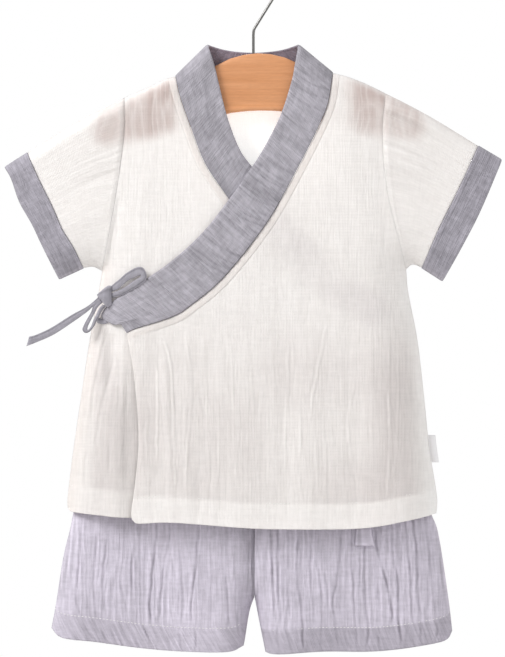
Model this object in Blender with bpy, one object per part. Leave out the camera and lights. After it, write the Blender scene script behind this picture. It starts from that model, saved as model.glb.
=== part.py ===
# Toddler pyjama set of crinkled double gauze on a wooden hanger: a wrap top with a
# band collar tied at one side, and elastic-waist shorts nested inside its lower half.
# Units in the tables are millimetres, the scene is in metres, +Z is up.
# The front faces -Y and left means -X. The origin is where the hook rests on its rail.
import math

import bpy
import bmesh
import numpy as np
from mathutils import Vector

# Driving dimensions in millimetres
MM = 0.001
SEAM_GAP = 0.3
GAUZE_WALL = 1.2
HEM_WALL = 2.0
BAND_WALL = 2.0
WAISTBAND_WALL = 1.8
BAND_PROUD = 0.4
WRAP_STEP = 2.8
HANGER_THICK = 12.0
HANGER_APEX_Z = -72.0
HANGER_CENTRE_X = 3.5
HANGER_TILT_DEG = 1.2
HOOK_WIRE = 2.4
HOOK_BEND_RADIUS = 18.3
HOOK_KNEE_Z = -51.3
HOOK_SCREW_DEPTH = 14.0
HOOK_HOLE_CLEARANCE = 0.3
SHOULDER_TURN = 11.0
SIDE_TURN = 45.0
SHORTS_SIDE_TURN = 26.0
INSEAM_TURN = 24.0
WAIST_TOP_Z = -325.0
WAISTBAND_HEIGHT = 20.0
HEM_START = 0.94
EDGE_SNAP = 0.7
FRONT = -1.0
BACK = 1.0

# Half-depth of the hanging top and of the shorts at each height: columns z, front, back
TOP_DEPTH = [
    (-60.0, 9.0, 9.0),
    (-150.0, 9.2, 9.2),
    (-200.0, 10.5, 10.0),
    (-260.0, 13.5, 12.0),
    (-320.0, 18.0, 15.0),
    (-380.0, 22.0, 18.0),
    (-440.0, 25.0, 20.5),
    (-490.0, 26.5, 21.5),
]
SHORTS_DEPTH = [
    (-320.0, 9.0, 9.0),
    (-345.0, 10.0, 9.0),
    (-380.0, 13.5, 11.0),
    (-430.0, 16.0, 13.0),
    (-480.0, 17.5, 13.6),
    (-600.0, 19.0, 16.0),
]
# How far the shorts sit behind the top's middle plane: columns z, y
SHORTS_SHIFT = [(-325.0, 3.7), (-345.0, 4.6), (-400.0, 3.5), (-450.0, 1.0), (-470.0, 0.2), (-600.0, 0.2)]

# Outlines of the laid-out garment, columns x, z
SLEEVE_TOP_LEFT = [(-197.2, -158.7), (-178.5, -146.7), (-145.6, -127.2), (-124.6, -117.4), (-112.6, -110.8)]
SLEEVE_TOP_RIGHT = [(196.3, -152.8), (176.8, -140.7), (154.3, -127.2), (131.9, -115.2), (115.4, -107.0)]
SHOULDER_LEFT = [(-112.6, -110.8), (-90.0, -100.8), (-78.8, -95.2), (-68.2, -92.0)]
SHOULDER_RIGHT = [(115.4, -107.0), (100.0, -99.4), (84.0, -93.0), (69.5, -89.1)]
COLLAR_CORNER_LEFT = (-40.0, -64.2)
COLLAR_CORNER_RIGHT = (39.3, -64.2)
CUFF_TOP_LEFT = (-217.3, -171.5)
CUFF_TOP_RIGHT = (216.9, -165.0)
CUFF_SEAM_LEFT = [(-197.2, -158.7), (-187.1, -181.6), (-174.7, -206.5), (-166.4, -225.7), (-156.3, -242.2),
                  (-148.4, -259.4)]
CUFF_SEAM_RIGHT = [(196.3, -152.8), (176.8, -194.6), (161.8, -224.6), (146.9, -259.1)]
CUFF_END_LEFT = [(-217.3, -171.5), (-211.3, -181.6), (-203.8, -202.4), (-193.0, -221.5), (-183.1, -242.3),
                 (-169.7, -269.2)]
CUFF_END_RIGHT = [(216.9, -165.0), (197.9, -209.6), (182.0, -240.5), (165.2, -270.9)]
SLEEVE_LOW_LEFT = [(-148.4, -259.4), (-140.0, -258.4), (-132.1, -262.0)]
SLEEVE_LOW_RIGHT = [(146.9, -259.1), (139.0, -256.4), (133.4, -260.5)]
ARMHOLE_LEFT = [(-112.6, -110.8), (-112.6, -143.9), (-120.4, -200.4), (-132.1, -262.0)]
ARMHOLE_RIGHT = [(115.4, -107.0), (112.4, -143.3), (116.9, -194.4), (133.4, -260.5)]
SIDE_LEFT = [(-132.1, -262.0), (-135.2, -280.5), (-143.0, -322.2), (-150.9, -374.5), (-157.0, -416.2),
             (-162.2, -458.0), (-162.2, -468.6)]
SIDE_RIGHT = [(133.4, -260.5), (135.2, -280.5), (143.2, -322.2), (149.3, -374.5), (153.6, -416.2),
              (160.2, -458.0), (159.7, -473.4)]
HEM_BACK = [(-162.2, -468.6), (-60.0, -477.0), (60.0, -479.0), (159.7, -473.4)]
HEM_UNDER = [(-162.2, -468.6), (-106.1, -475.7), (0.0, -478.5), (103.0, -478.8)]
HEM_OVER = [(-102.5, -481.3), (-69.5, -480.6), (-11.7, -484.9), (24.9, -486.3), (92.1, -485.6), (134.9, -478.8),
            (159.7, -473.4)]
FREE_EDGE_OVER = [(-109.6, -316.4), (-103.5, -353.5), (-99.5, -408.3), (-103.1, -451.0), (-102.5, -481.3)]
FREE_EDGE_UNDER = [(100.0, -309.0), (105.0, -360.0), (104.0, -430.0), (103.0, -478.8)]
NECK_SEAM_BACK = [(-68.2, -92.0), (-40.0, -98.5), (0.0, -101.0), (40.0, -97.5), (69.5, -89.1)]
NECK_EDGE_BACK = [(-40.0, -64.2), (-22.0, -69.0), (0.0, -70.8), (22.0, -69.0), (39.3, -64.2)]
BAND_SEAM_OVER = [(69.5, -89.1), (65.4, -115.2), (57.6, -135.2), (39.8, -170.7), (12.0, -220.1), (-25.7, -268.1),
                  (-55.7, -293.5), (-70.6, -302.5), (-100.6, -312.2), (-109.6, -316.4)]
BAND_EDGE_OVER = [(39.3, -64.2), (36.2, -81.3), (33.4, -96.0), (24.9, -123.0), (14.4, -145.2), (-1.2, -171.3),
                  (-39.2, -223.1), (-70.6, -253.1), (-100.6, -274.0), (-124.6, -291.3), (-131.6, -300.5)]
BAND_SEAM_UNDER = [(-68.2, -92.0), (-63.9, -110.8), (-51.7, -145.2), (-41.2, -170.7), (-21.9, -199.1),
                   (-1.0, -230.0), (26.0, -261.0), (56.0, -286.0), (100.0, -309.0)]
BAND_EDGE_UNDER = [(-40.0, -64.2), (-33.9, -83.0), (-23.4, -125.6), (-12.3, -155.2), (-1.2, -171.3),
                   (14.0, -190.0), (38.0, -220.0), (62.0, -243.0), (88.0, -265.0), (112.0, -286.0)]

# Shorts: outline of each leg from the waistband down, columns x, z
SHORTS_OUTER_LEFT = [(-106.0, -325.0), (-112.0, -345.0), (-139.0, -395.0), (-151.5, -450.0), (-157.0, -472.0),
                     (-160.0, -487.0), (-166.0, -512.0), (-172.3, -552.0), (-176.3, -573.5)]
SHORTS_OUTER_RIGHT = [(108.0, -325.0), (114.0, -345.0), (139.0, -395.0), (149.0, -450.0), (155.0, -473.0),
                      (160.4, -487.0), (165.0, -512.0), (170.9, -552.8), (173.6, -576.0)]
CENTRE_X = 1.0
CROTCH_Z = -546.0
INSEAM_LEFT = [(1.0, -546.0), (-3.4, -558.9), (-7.4, -583.2), (-8.6, -589.0)]
INSEAM_RIGHT = [(1.0, -546.0), (4.6, -565.0), (7.0, -577.2), (10.5, -594.5)]
SHORTS_HEM_LEFT = [(-8.6, -589.0), (-23.3, -593.5), (-63.6, -592.8), (-100.4, -589.6), (-136.9, -584.7),
                   (-166.0, -581.2), (-176.3, -573.5)]
SHORTS_HEM_RIGHT = [(10.5, -594.5), (22.0, -595.6), (60.0, -593.0), (98.2, -593.1), (122.6, -591.4),
                    (147.0, -587.8), (167.0, -583.4), (173.6, -576.0)]

# Largest folds of the front: columns x and z at the upper and lower end, half-width, height
FRONT_FOLDS = [
    (-124.5, -313.0, -121.0, -356.0, 8.0, -2.2),
    (-137.0, -312.0, -152.0, -470.0, 9.0, 1.6),
    (-116.0, -318.0, -119.0, -476.0, 9.0, 1.6),
    (-80.0, -330.0, -62.0, -480.0, 15.0, 1.2),
    (-30.0, -300.0, -12.0, -484.0, 17.0, 1.0),
    (52.0, -290.0, 48.0, -485.0, 16.0, 1.1),
    (104.0, -270.0, 110.0, -480.0, 15.0, 1.3),
    (-121.0, -190.0, -124.0, -250.0, 8.0, -1.5),
]
BACK_FOLDS = [
    (-70.0, -220.0, -78.0, -474.0, 16.0, 1.3),
    (-10.0, -240.0, 4.0, -477.0, 18.0, 1.2),
    (64.0, -220.0, 76.0, -476.0, 16.0, 1.3),
]

# Wooden hanger: columns distance from its middle, top z and bottom z below its apex
HANGER_PROFILE = [
    (0.0, 0.0, -50.0),
    (12.0, -1.1, -50.4),
    (24.0, -4.2, -51.6),
    (37.0, -10.3, -54.6),
    (54.0, -18.6, -60.6),
    (72.0, -26.0, -67.5),
    (90.0, -33.6, -72.4),
    (105.0, -40.8, -75.2),
    (120.0, -47.8, -77.4),
    (134.0, -54.6, -78.8),
    (142.0, -60.0, -78.4),
    (146.5, -64.8, -75.6),
    (148.5, -69.0, -72.2),
]

# Tied bow: columns x and z on the outer outline, then on the inner one
LOOP_UPPER = [
    (-122.3, -276.4, -122.2, -280.8),
    (-117.5, -269.6, -115.0, -276.8),
    (-111.0, -264.6, -107.8, -272.2),
    (-103.6, -260.0, -101.6, -267.6),
    (-97.6, -258.7, -99.8, -266.6),
    (-93.6, -262.0, -99.2, -266.9),
    (-92.8, -267.6, -99.8, -267.6),
    (-95.8, -272.2, -102.4, -269.2),
    (-104.0, -276.8, -108.4, -273.2),
    (-112.6, -281.4, -115.4, -278.0),
    (-121.9, -287.0, -122.1, -283.0),
]
LOOP_LOWER = [
    (-136.7, -290.8, -133.5, -296.0),
    (-142.4, -300.0, -138.4, -302.2),
    (-146.4, -308.4, -141.8, -308.6),
    (-148.6, -313.0, -143.8, -312.2),
    (-145.6, -315.8, -143.3, -312.9),
    (-140.4, -313.8, -142.2, -312.4),
    (-136.6, -307.2, -140.2, -308.4),
    (-132.8, -300.0, -136.0, -301.0),
    (-129.8, -296.8, -132.6, -296.9),
]
TAIL = [
    (-135.7, -285.2, -134.8, -289.4),
    (-143.0, -289.6, -141.2, -293.4),
    (-158.6, -299.6, -156.2, -304.8),
    (-176.2, -311.6, -173.6, -317.4),
    (-189.6, -317.8, -188.2, -324.0),
    (-195.2, -319.2, -197.6, -327.6),
]
KNOT = [
    (-136.2, -282.4, -132.6, -295.4),
    (-133.4, -279.8, -129.4, -295.6),
    (-129.6, -276.8, -126.4, -293.6),
    (-126.0, -274.6, -123.6, -292.0),
    (-123.8, -276.2, -122.8, -290.0),
]
SIDE_STRAP = [
    (-136.2, -299.0, -138.8, -303.6),
    (-133.6, -304.6, -136.0, -308.0),
    (-131.0, -307.6, -132.0, -310.8),
    (-128.2, -308.8, -128.6, -312.0),
]
TIE_THICK = 2.2
STRAP_THICK = 1.4
KNOT_Y = -15.6
KNOT_THICK = 7.0
BAND_END_BULGE = 4.5
LABEL_TOP_Z = -405.2
LABEL_BOTTOM_Z = -429.0
LABEL_WIDTH = 6.4
LABEL_THICK = 1.0
LABEL_GAP = 0.5
WAIST_TIE = [
    (85.7, -336.0, 98.3, -336.0),
    (87.0, -400.0, 99.6, -400.0),
    (88.4, -450.0, 101.2, -450.0),
    (89.3, -485.0, 102.3, -485.0),
    (88.4, -501.0, 105.4, -501.4),
]


class Line:
    """Smooth curve through a few points of a plane, read by the fraction of its length."""

    def __init__(self, points, steps=10):
        pts = [np.array(p, float) for p in points]
        ends = [2 * pts[0] - pts[1]] + pts + [2 * pts[-1] - pts[-2]]
        dense = []
        for a, b, c, d in zip(ends, ends[1:], ends[2:], ends[3:]):
            for k in range(steps):
                u = k / steps
                dense.append(0.5 * (2 * b + (c - a) * u + (2 * a - 5 * b + 4 * c - d) * u * u
                                    + (3 * b - a - 3 * c + d) * u ** 3))
        dense.append(pts[-1])
        self.poly = np.array(dense)
        self.length = np.concatenate([[0], np.cumsum(np.linalg.norm(np.diff(self.poly, axis=0), axis=1))])

    def at(self, s):
        want = s * self.length[-1]
        return np.array([np.interp(want, self.length, self.poly[:, k]) for k in range(self.poly.shape[1])])


class Chain:
    """Curves one after the other; turns are the fractions at which the next one starts."""

    def __init__(self, curves, turns):
        self.lines = [Line(points) for points in curves]
        self.stops = [0.0] + list(turns) + [1.0]

    def at(self, s):
        k = max(j for j in range(len(self.lines)) if j == 0 or s > self.stops[j])
        return self.lines[k].at((s - self.stops[k]) / (self.stops[k + 1] - self.stops[k]))

    def within(self, fractions, k):
        """The given fractions that fall on curve k, as fractions of that curve."""
        a, b = self.stops[k], self.stops[k + 1]
        return [(s - a) / (b - a) for s in fractions if a - 1e-9 <= s <= b + 1e-9]


def column(table, z, k):
    """Value of column k of a table whose first column is a falling z."""
    heights = [-row[0] for row in table]
    return float(np.interp(-z, heights, [row[k] for row in table]))


def smooth(u):
    u = min(max(u, 0.0), 1.0)
    return u * u * (3 - 2 * u)


class Outline:
    """Folded edges of a flat-hanging garment: the distance to the nearest one sets the depth."""

    def __init__(self, curves, turn):
        """curves holds pairs of a Line and a point well inside the cloth beside it."""
        self.seg = np.concatenate([np.concatenate([c.poly[:-1], c.poly[1:]], axis=1) for c, _ in curves])
        self.inside = np.concatenate([[point] * (len(c.poly) - 1) for c, point in curves])
        self.turn = turn

    def nearest(self, x, z):
        """Distance to the edge, and the unit direction away from it into the cloth."""
        a, b = self.seg[:, :2], self.seg[:, 2:]
        ab = b - a
        p = np.array([x, z])
        u = np.clip(((p - a) * ab).sum(1) / (ab * ab).sum(1), 0, 1)
        foot = a + ab * u[:, None]
        gap = np.linalg.norm(p - foot, axis=1)
        k = int(gap.argmin())
        away = p - foot[k]
        if gap[k] < EDGE_SNAP:
            # on the edge itself the direction is square to it, towards the middle
            away = np.array([-ab[k][1], ab[k][0]])
            if away @ (self.inside[k] - foot[k]) < 0:
                away = -away
            return 0.0, away / np.linalg.norm(away)
        return float(gap[k]) - EDGE_SNAP, away / gap[k]

    def rise(self, x, z):
        """Share of the full depth, its slope per millimetre, and the direction it rises in."""
        gap, away = self.nearest(x, z)
        u = min(gap / self.turn, 1.0)
        share = math.sqrt(max(1 - (1 - u) ** 2, 0.0))
        slope = (1 - u) / max(share, 0.02) / self.turn
        return gap, share, slope, away


class Cloth:
    """A garment seen flat: folded edges, and depths by height in front and behind."""

    def __init__(self, outlines, depths, shift=None):
        self.outlines, self.depths, self.shift = outlines, depths, shift

    def place(self, x, z, side, lift=0.0, gap=SEAM_GAP / 2, folds=()):
        """Point of the outer face over (x, z) and the outward direction there."""
        depth = column(self.depths, z, 1 if side == FRONT else 2)
        share, grad, on_edge = 1.0, np.zeros(2), None
        parts = [outline.rise(x, z) for outline in self.outlines]
        for near, part, slope, away in parts:
            share *= part
            if near == 0.0 and on_edge is None:
                on_edge = away
        for k, (near, part, slope, away) in enumerate(parts):
            others = math.prod(p[1] for j, p in enumerate(parts) if j != k)
            grad = grad + depth * slope * others * away
        if on_edge is not None:
            normal = Vector((-on_edge[0], 0.0, -on_edge[1]))
        else:
            normal = Vector((-grad[0], side, -grad[1])).normalized()
        middle = column(self.shift, z, 1) if self.shift else 0.0
        point = Vector((x, middle + side * (gap + depth * share), z))
        bump = share * sum(fold(x, z) for fold in folds)
        return point + normal * (lift + bump), normal


def ridge(x_top, z_top, x_low, z_low, half_width, height):
    """Soft ridge, or trough where height is negative, that fades out at both ends."""
    def at(x, z):
        u = (z_top - z) / (z_top - z_low)
        if u <= 0 or u >= 1.15:
            return 0.0
        off = (x - (x_top + (x_low - x_top) * u)) / half_width
        return height * smooth(u / 0.25) * smooth((1.15 - u) / 0.15) * math.exp(-off * off)
    return at


def patch(left, right, top, low):
    """Coons patch between four boundary curves; s runs down and t runs left to right."""
    corners = left.at(0), right.at(0), left.at(1), right.at(1)

    def at(s, t):
        sides = (1 - t) * left.at(s) + t * right.at(s) + (1 - s) * top.at(t) + s * low.at(t)
        return sides - ((1 - s) * (1 - t) * corners[0] + (1 - s) * t * corners[1]
                        + s * (1 - t) * corners[2] + s * t * corners[3])
    return at


def eased(n, ease):
    """n + 1 fractions from 0 to 1, closer together at both ends as ease goes to 1."""
    return [(1 - ease) * k / n + ease * (1 - math.cos(math.pi * k / n)) / 2 for k in range(n + 1)]


def spaced(*stops):
    """Fractions from pairs of (stop, steps up to the next stop)."""
    out = []
    for (a, n), (b, _) in zip(stops, stops[1:]):
        out += [a + (b - a) * k / n for k in range(n)]
    return out + [stops[-1][0]]


def material(name, colour, roughness, metallic=0.0):
    mat = bpy.data.materials.new(name)
    mat.use_nodes = True
    shader = mat.node_tree.nodes["Principled BSDF"]
    shader.inputs["Base Color"].default_value = (*colour, 1.0)
    shader.inputs["Roughness"].default_value = roughness
    shader.inputs["Metallic"].default_value = metallic
    return mat


def add_object(name, verts, faces, mat):
    """Closed mesh object from points in millimetres, with its faces turned outwards."""
    bm = bmesh.new()
    made = [bm.verts.new(Vector(v) * MM) for v in verts]
    for face in faces:
        bm.faces.new([made[k] for k in face])
    bmesh.ops.recalc_face_normals(bm, faces=bm.faces)
    if bm.calc_volume(signed=True) < 0:
        bmesh.ops.reverse_faces(bm, faces=bm.faces)
    mesh = bpy.data.meshes.new(name)
    bm.to_mesh(mesh)
    bm.free()
    mesh.materials.append(mat)
    obj = bpy.data.objects.new(name, mesh)
    bpy.context.scene.collection.objects.link(obj)
    return obj


def shell(name, outer, inner, mat, ring=False):
    """Wall between two grids of points; ring joins the last column to the first."""
    rows, cols = len(outer), len(outer[0])
    verts = [p for row in outer for p in row] + [p for row in inner for p in row]
    back = rows * cols
    faces = []
    for r in range(rows - 1):
        for c in range(cols if ring else cols - 1):
            d = (c + 1) % cols
            quad = (r * cols + c, r * cols + d, (r + 1) * cols + d, (r + 1) * cols + c)
            # both faces of the wall fold along the same, shorter, diagonal
            if (verts[quad[0]] - verts[quad[2]]).length > (verts[quad[1]] - verts[quad[3]]).length:
                quad = quad[1:] + quad[:1]
            for tri in ((quad[0], quad[1], quad[2]), (quad[0], quad[2], quad[3])):
                faces += [tri, tuple(back + k for k in reversed(tri))]
    for r in (0, rows - 1):
        for c in range(cols if ring else cols - 1):
            a, b = r * cols + c, r * cols + (c + 1) % cols
            faces.append((a, back + a, back + b, b))
    if not ring:
        for c in (0, cols - 1):
            for r in range(rows - 1):
                a, b = r * cols + c, (r + 1) * cols + c
                faces.append((a, b, back + b, back + a))
    return add_object(name, verts, faces, mat)


def strap(name, table, face_y, thick, mat, steps=0, sides=8):
    """Flattened tube whose section spans two outline points a row; face_y gives its middle y."""
    rings = []
    rows = table
    if steps:
        first, second = Line([row[:2] for row in table]), Line([row[2:] for row in table])
        rows = [(*first.at(k / steps), *second.at(k / steps)) for k in range(steps + 1)]
    for xa, za, xb, zb in rows:
        mid = Vector(((xa + xb) / 2, face_y((xa + xb) / 2, (za + zb) / 2), (za + zb) / 2))
        half = Vector(((xb - xa) / 2, 0.0, (zb - za) / 2)) / math.cos(math.pi / sides)
        ring = []
        for k in range(sides):
            a = 2 * math.pi * (k + 0.5) / sides
            ring.append(mid + half * math.cos(a) + Vector((0.0, thick / 2 * math.sin(a), 0.0)))
        rings.append(ring)
    return tube(name, rings, mat)


def tube(name, rings, mat):
    """Closed body through rings of equal point counts, flat at both ends."""
    n = len(rings[0])
    verts = [p for ring in rings for p in ring]
    faces = [tuple(range(n)), tuple(range(len(verts) - n, len(verts)))]
    for r in range(len(rings) - 1):
        for k in range(n):
            a, b = r * n + k, r * n + (k + 1) % n
            faces.append((a, b, b + n, a + n))
    return add_object(name, verts, faces, mat)


def top_cloth():
    """Depth model of the top from its folded edges."""
    body, sleeve_left, sleeve_right = (0.0, -200.0), (-165.0, -205.0), (165.0, -205.0)
    upper = [(Line(SHOULDER_LEFT), body), (Line(SHOULDER_RIGHT), body),
             (Line([SHOULDER_LEFT[-1], COLLAR_CORNER_LEFT]), body),
             (Line([SHOULDER_RIGHT[-1], COLLAR_CORNER_RIGHT]), body),
             (Line(SLEEVE_TOP_LEFT), sleeve_left), (Line([SLEEVE_TOP_LEFT[0], CUFF_TOP_LEFT]), sleeve_left),
             (Line(SLEEVE_TOP_RIGHT), sleeve_right), (Line([SLEEVE_TOP_RIGHT[0], CUFF_TOP_RIGHT]), sleeve_right)]
    lower = [(Line(SIDE_LEFT), body), (Line(SIDE_RIGHT), body),
             (Line(SLEEVE_LOW_LEFT), sleeve_left), (Line([CUFF_END_LEFT[-1], CUFF_SEAM_LEFT[-1]]), sleeve_left),
             (Line(SLEEVE_LOW_RIGHT), sleeve_right), (Line([CUFF_END_RIGHT[-1], CUFF_SEAM_RIGHT[-1]]), sleeve_right)]
    return Cloth([Outline(upper, SHOULDER_TURN), Outline(lower, SIDE_TURN)], TOP_DEPTH)


def shorts_cloth():
    """Depth model of each leg, and of the waist, which has no inseam."""
    middle = (0.0, -450.0)
    outer = [(Line(SHORTS_OUTER_LEFT), middle), (Line(SHORTS_OUTER_RIGHT), middle)]
    legs = [Cloth([Outline(outer, SHORTS_SIDE_TURN), Outline([(Line(inseam), leg)], INSEAM_TURN)],
                  SHORTS_DEPTH, SHORTS_SHIFT)
            for inseam, leg in ((INSEAM_LEFT, (-80.0, -570.0)), (INSEAM_RIGHT, (80.0, -570.0)))]
    return legs, Cloth([Outline(outer, SHORTS_SIDE_TURN)], SHORTS_DEPTH, SHORTS_SHIFT)


# Fractions at which a panel's edge passes from one seam to the next
ARMHOLE_TURN = 0.42
OVER_CORNER = 0.55
UNDER_CORNER = 0.6
NECK_START = 0.2
RIGHT_EDGE = Chain([ARMHOLE_RIGHT, SIDE_RIGHT], [ARMHOLE_TURN])
LEFT_EDGE = Chain([ARMHOLE_LEFT, SIDE_LEFT], [ARMHOLE_TURN])
OVER_EDGE = Chain([BAND_SEAM_OVER, FREE_EDGE_OVER], [OVER_CORNER])
UNDER_EDGE = Chain([BAND_SEAM_UNDER, FREE_EDGE_UNDER], [UNDER_CORNER])
NECK_EDGE = Chain([SHOULDER_LEFT, NECK_SEAM_BACK, SHOULDER_RIGHT[::-1]], [NECK_START, 1 - NECK_START])

# Rows and columns of the panels; the collar shares those on its seam
TOP_ROWS = [0.0, 0.004, 0.012, 0.022, 0.034]
HEM_ROWS = [(HEM_START, 1), (HEM_START + 0.003, 2), (1.0, 0)]
ARM_ROWS = [(0.34, 2), (0.39, 1), (ARMHOLE_TURN, 1)]
OVER_ROWS = TOP_ROWS + spaced((0.06, 7), *ARM_ROWS, (0.455, 2), (OVER_CORNER, 5), *HEM_ROWS)
UNDER_ROWS = TOP_ROWS + spaced((0.06, 7), *ARM_ROWS, (0.455, 3), (UNDER_CORNER, 4), *HEM_ROWS)
BACK_ROWS = TOP_ROWS + spaced((0.06, 4), *ARM_ROWS, (0.455, 5), *HEM_ROWS)
BACK_SIDE = [0.0, 0.012, 0.035, 0.075, 0.13]
BACK_COLS = BACK_SIDE + spaced((NECK_START, 1), (0.22, 1), (0.26, 8), (0.74, 1), (0.78, 1), (1 - NECK_START, 0))
BACK_COLS += [1 - t for t in BACK_SIDE[::-1]]


def wrap_lift(x, z):
    """Extra step of the over front, none at the shoulder, armhole and right side seam."""
    edge = np.concatenate([line.poly for line in RIGHT_EDGE.lines])
    side_x = float(np.interp(-z, -edge[:, 1], edge[:, 0]))
    return WRAP_STEP * smooth((-105.0 - z) / 45.0) * smooth((side_x - 2.0 - x) / 12.0)


def panel(name, cloth, grid, rows, cols, side, folds, mat, lift=None):
    """One flat-hanging panel, thicker where its hem is turned up."""
    outer, inner = [], []
    for s in rows:
        wall = HEM_WALL if s > HEM_START + 0.001 else GAUZE_WALL
        line = [grid(s, t) for t in cols]
        made = [cloth.place(x, z, side, lift(x, z) if lift else 0.0, folds=folds) for x, z in line]
        outer.append([p for p, n in made])
        inner.append([p - n * wall for p, n in made])
    return shell(name, outer, inner, mat)


def build_top(cloth, mats):
    front_folds = [ridge(*row) for row in FRONT_FOLDS]
    back_folds = [ridge(*row) for row in BACK_FOLDS]
    panel("back_panel", cloth, patch(LEFT_EDGE, RIGHT_EDGE, NECK_EDGE, Line(HEM_BACK)), BACK_ROWS, BACK_COLS,
          BACK, back_folds, mats["gauze"])
    grid = patch(OVER_EDGE, RIGHT_EDGE, Line(SHOULDER_RIGHT[::-1]), Line(HEM_OVER))
    panel("front_over", cloth, grid, OVER_ROWS, eased(18, 0.6), FRONT, front_folds, mats["gauze"], wrap_lift)
    grid = patch(LEFT_EDGE, UNDER_EDGE, Line(SHOULDER_LEFT), Line(HEM_UNDER))
    panel("front_under", cloth, grid, UNDER_ROWS, eased(17, 0.7), FRONT, front_folds, mats["gauze"])


def ring_wall(name, cloth, grid, rows, count, wall, proud, folds, mat):
    """Sleeve or cuff: front half from its top edge to its low edge, then back up behind."""
    outer, inner = [], []
    down = eased(count, 1.0)
    for s in rows:
        made = [cloth.place(*grid(s, t), FRONT, proud, 0.0, folds) for t in down]
        made += [cloth.place(*grid(s, t), BACK, proud, 0.0) for t in down[-2:0:-1]]
        outer.append([p for p, n in made])
        inner.append([p - n * wall for p, n in made])
    return shell(name, outer, inner, mat, ring=True)


def build_sleeves(cloth, mats):
    folds = [ridge(*row) for row in FRONT_FOLDS]
    sets = (("left", ARMHOLE_LEFT, CUFF_SEAM_LEFT, SLEEVE_TOP_LEFT, SLEEVE_LOW_LEFT, CUFF_END_LEFT),
            ("right", ARMHOLE_RIGHT, CUFF_SEAM_RIGHT, SLEEVE_TOP_RIGHT, SLEEVE_LOW_RIGHT, CUFF_END_RIGHT))
    for side, armhole, seam, top, low, end in sets:
        clear = (SEAM_GAP + 0.5) * (-1 if side == "left" else 1)
        armhole = [(x + clear, z) for x, z in armhole]
        grid = patch(Line(top[::-1]), Line(low[::-1]), Line(armhole), Line(seam))
        rows = spaced((0.0, 5), (1.0, 0))
        ring_wall("sleeve_" + side, cloth, grid, rows, 12, GAUZE_WALL, 0.0, folds, mats["gauze"])
        cuff = patch(Line([seam[0], end[0]]), Line([seam[-1], end[-1]]), Line(seam), Line(end))
        rows = [0.02, 0.5, 1.0]
        ring_wall("cuff_" + side, cloth, cuff, rows, 12, BAND_WALL, BAND_PROUD, (), mats["trim"])


def build_collar(cloth, mats):
    """One doubled strip from the hidden under end, round the neck, to the tied end."""
    folds = [ridge(*row) for row in FRONT_FOLDS]
    across = [0.0, 0.33, 0.67, 1.0]
    stations = []

    def add(seam, edge, fractions, side, lift, bulge=0.0):
        for s in fractions:
            a, b = seam.at(s), edge.at(s)
            inset = (SEAM_GAP + 0.25) / np.linalg.norm(b - a)
            run = np.array([-abs((b - a)[1]), -abs((b - a)[0])]) / np.linalg.norm(b - a)
            push = run * bulge * smooth((s - 0.93) / 0.07)
            line = [a + (b - a) * (inset + (1 - inset) * u) + push * 4 * u * (1 - u) for u in across]
            stations.append([cloth.place(x, z, side, BAND_PROUD + lift(x, z), 0.0, folds) for x, z in line])

    def flat(x, z):
        return 0.0

    under = UNDER_EDGE.within(UNDER_ROWS, 0)
    add(UNDER_EDGE.lines[0], Line(BAND_EDGE_UNDER), under[::-1], FRONT, flat)
    behind = NECK_EDGE.within(BACK_COLS, 1)[1:-1]
    near = [0.016, 0.03]
    behind = near + behind + [1 - s for s in near[::-1]]
    add(NECK_EDGE.lines[1], Line(NECK_EDGE_BACK), behind, BACK, flat)
    over = OVER_EDGE.within(OVER_ROWS, 0)
    add(OVER_EDGE.lines[0], Line(BAND_EDGE_OVER), over, FRONT, wrap_lift, BAND_END_BULGE)
    outer = [[p for p, n in row] for row in stations]
    inner = [[p - n * BAND_WALL for p, n in row] for row in stations]
    return shell("collar_band", outer, inner, mats["trim"])


def build_ties(cloth, mats):
    def above(clear):
        def at(x, z):
            point, _ = cloth.place(x, z, FRONT, wrap_lift(x, z) + BAND_PROUD)
            return point.y - clear
        return at

    def on_under_front(x, z):
        point, _ = cloth.place(x, z, FRONT)
        return point.y - 2 * SEAM_GAP - STRAP_THICK / 2

    strap("tie_loop_upper", LOOP_UPPER, above(1.7), TIE_THICK, mats["tie"])
    strap("tie_loop_lower", LOOP_LOWER, lambda x, z: KNOT_Y + 1.0, TIE_THICK, mats["tie"])
    strap("tie_tail", TAIL, lambda x, z: KNOT_Y + 1.0 + (-136.0 - x) * 0.05, TIE_THICK, mats["tie"], 12)
    strap("tie_knot", KNOT, lambda x, z: KNOT_Y, KNOT_THICK, mats["tie"])
    strap("tie_side_strap", SIDE_STRAP, on_under_front, STRAP_THICK, mats["tie"])


def build_label(mats):
    side = Line(SIDE_RIGHT)
    rings = []
    for z in (LABEL_TOP_Z, LABEL_BOTTOM_Z):
        x = float(np.interp(-z, -side.poly[:, 1], side.poly[:, 0])) + LABEL_GAP
        half = LABEL_THICK / 2
        rings.append([(x, -half, z), (x + LABEL_WIDTH, -half, z), (x + LABEL_WIDTH, half, z), (x, half, z)])
    return tube("size_label", [[Vector(p) for p in ring] for ring in rings], mats["label"])


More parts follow.
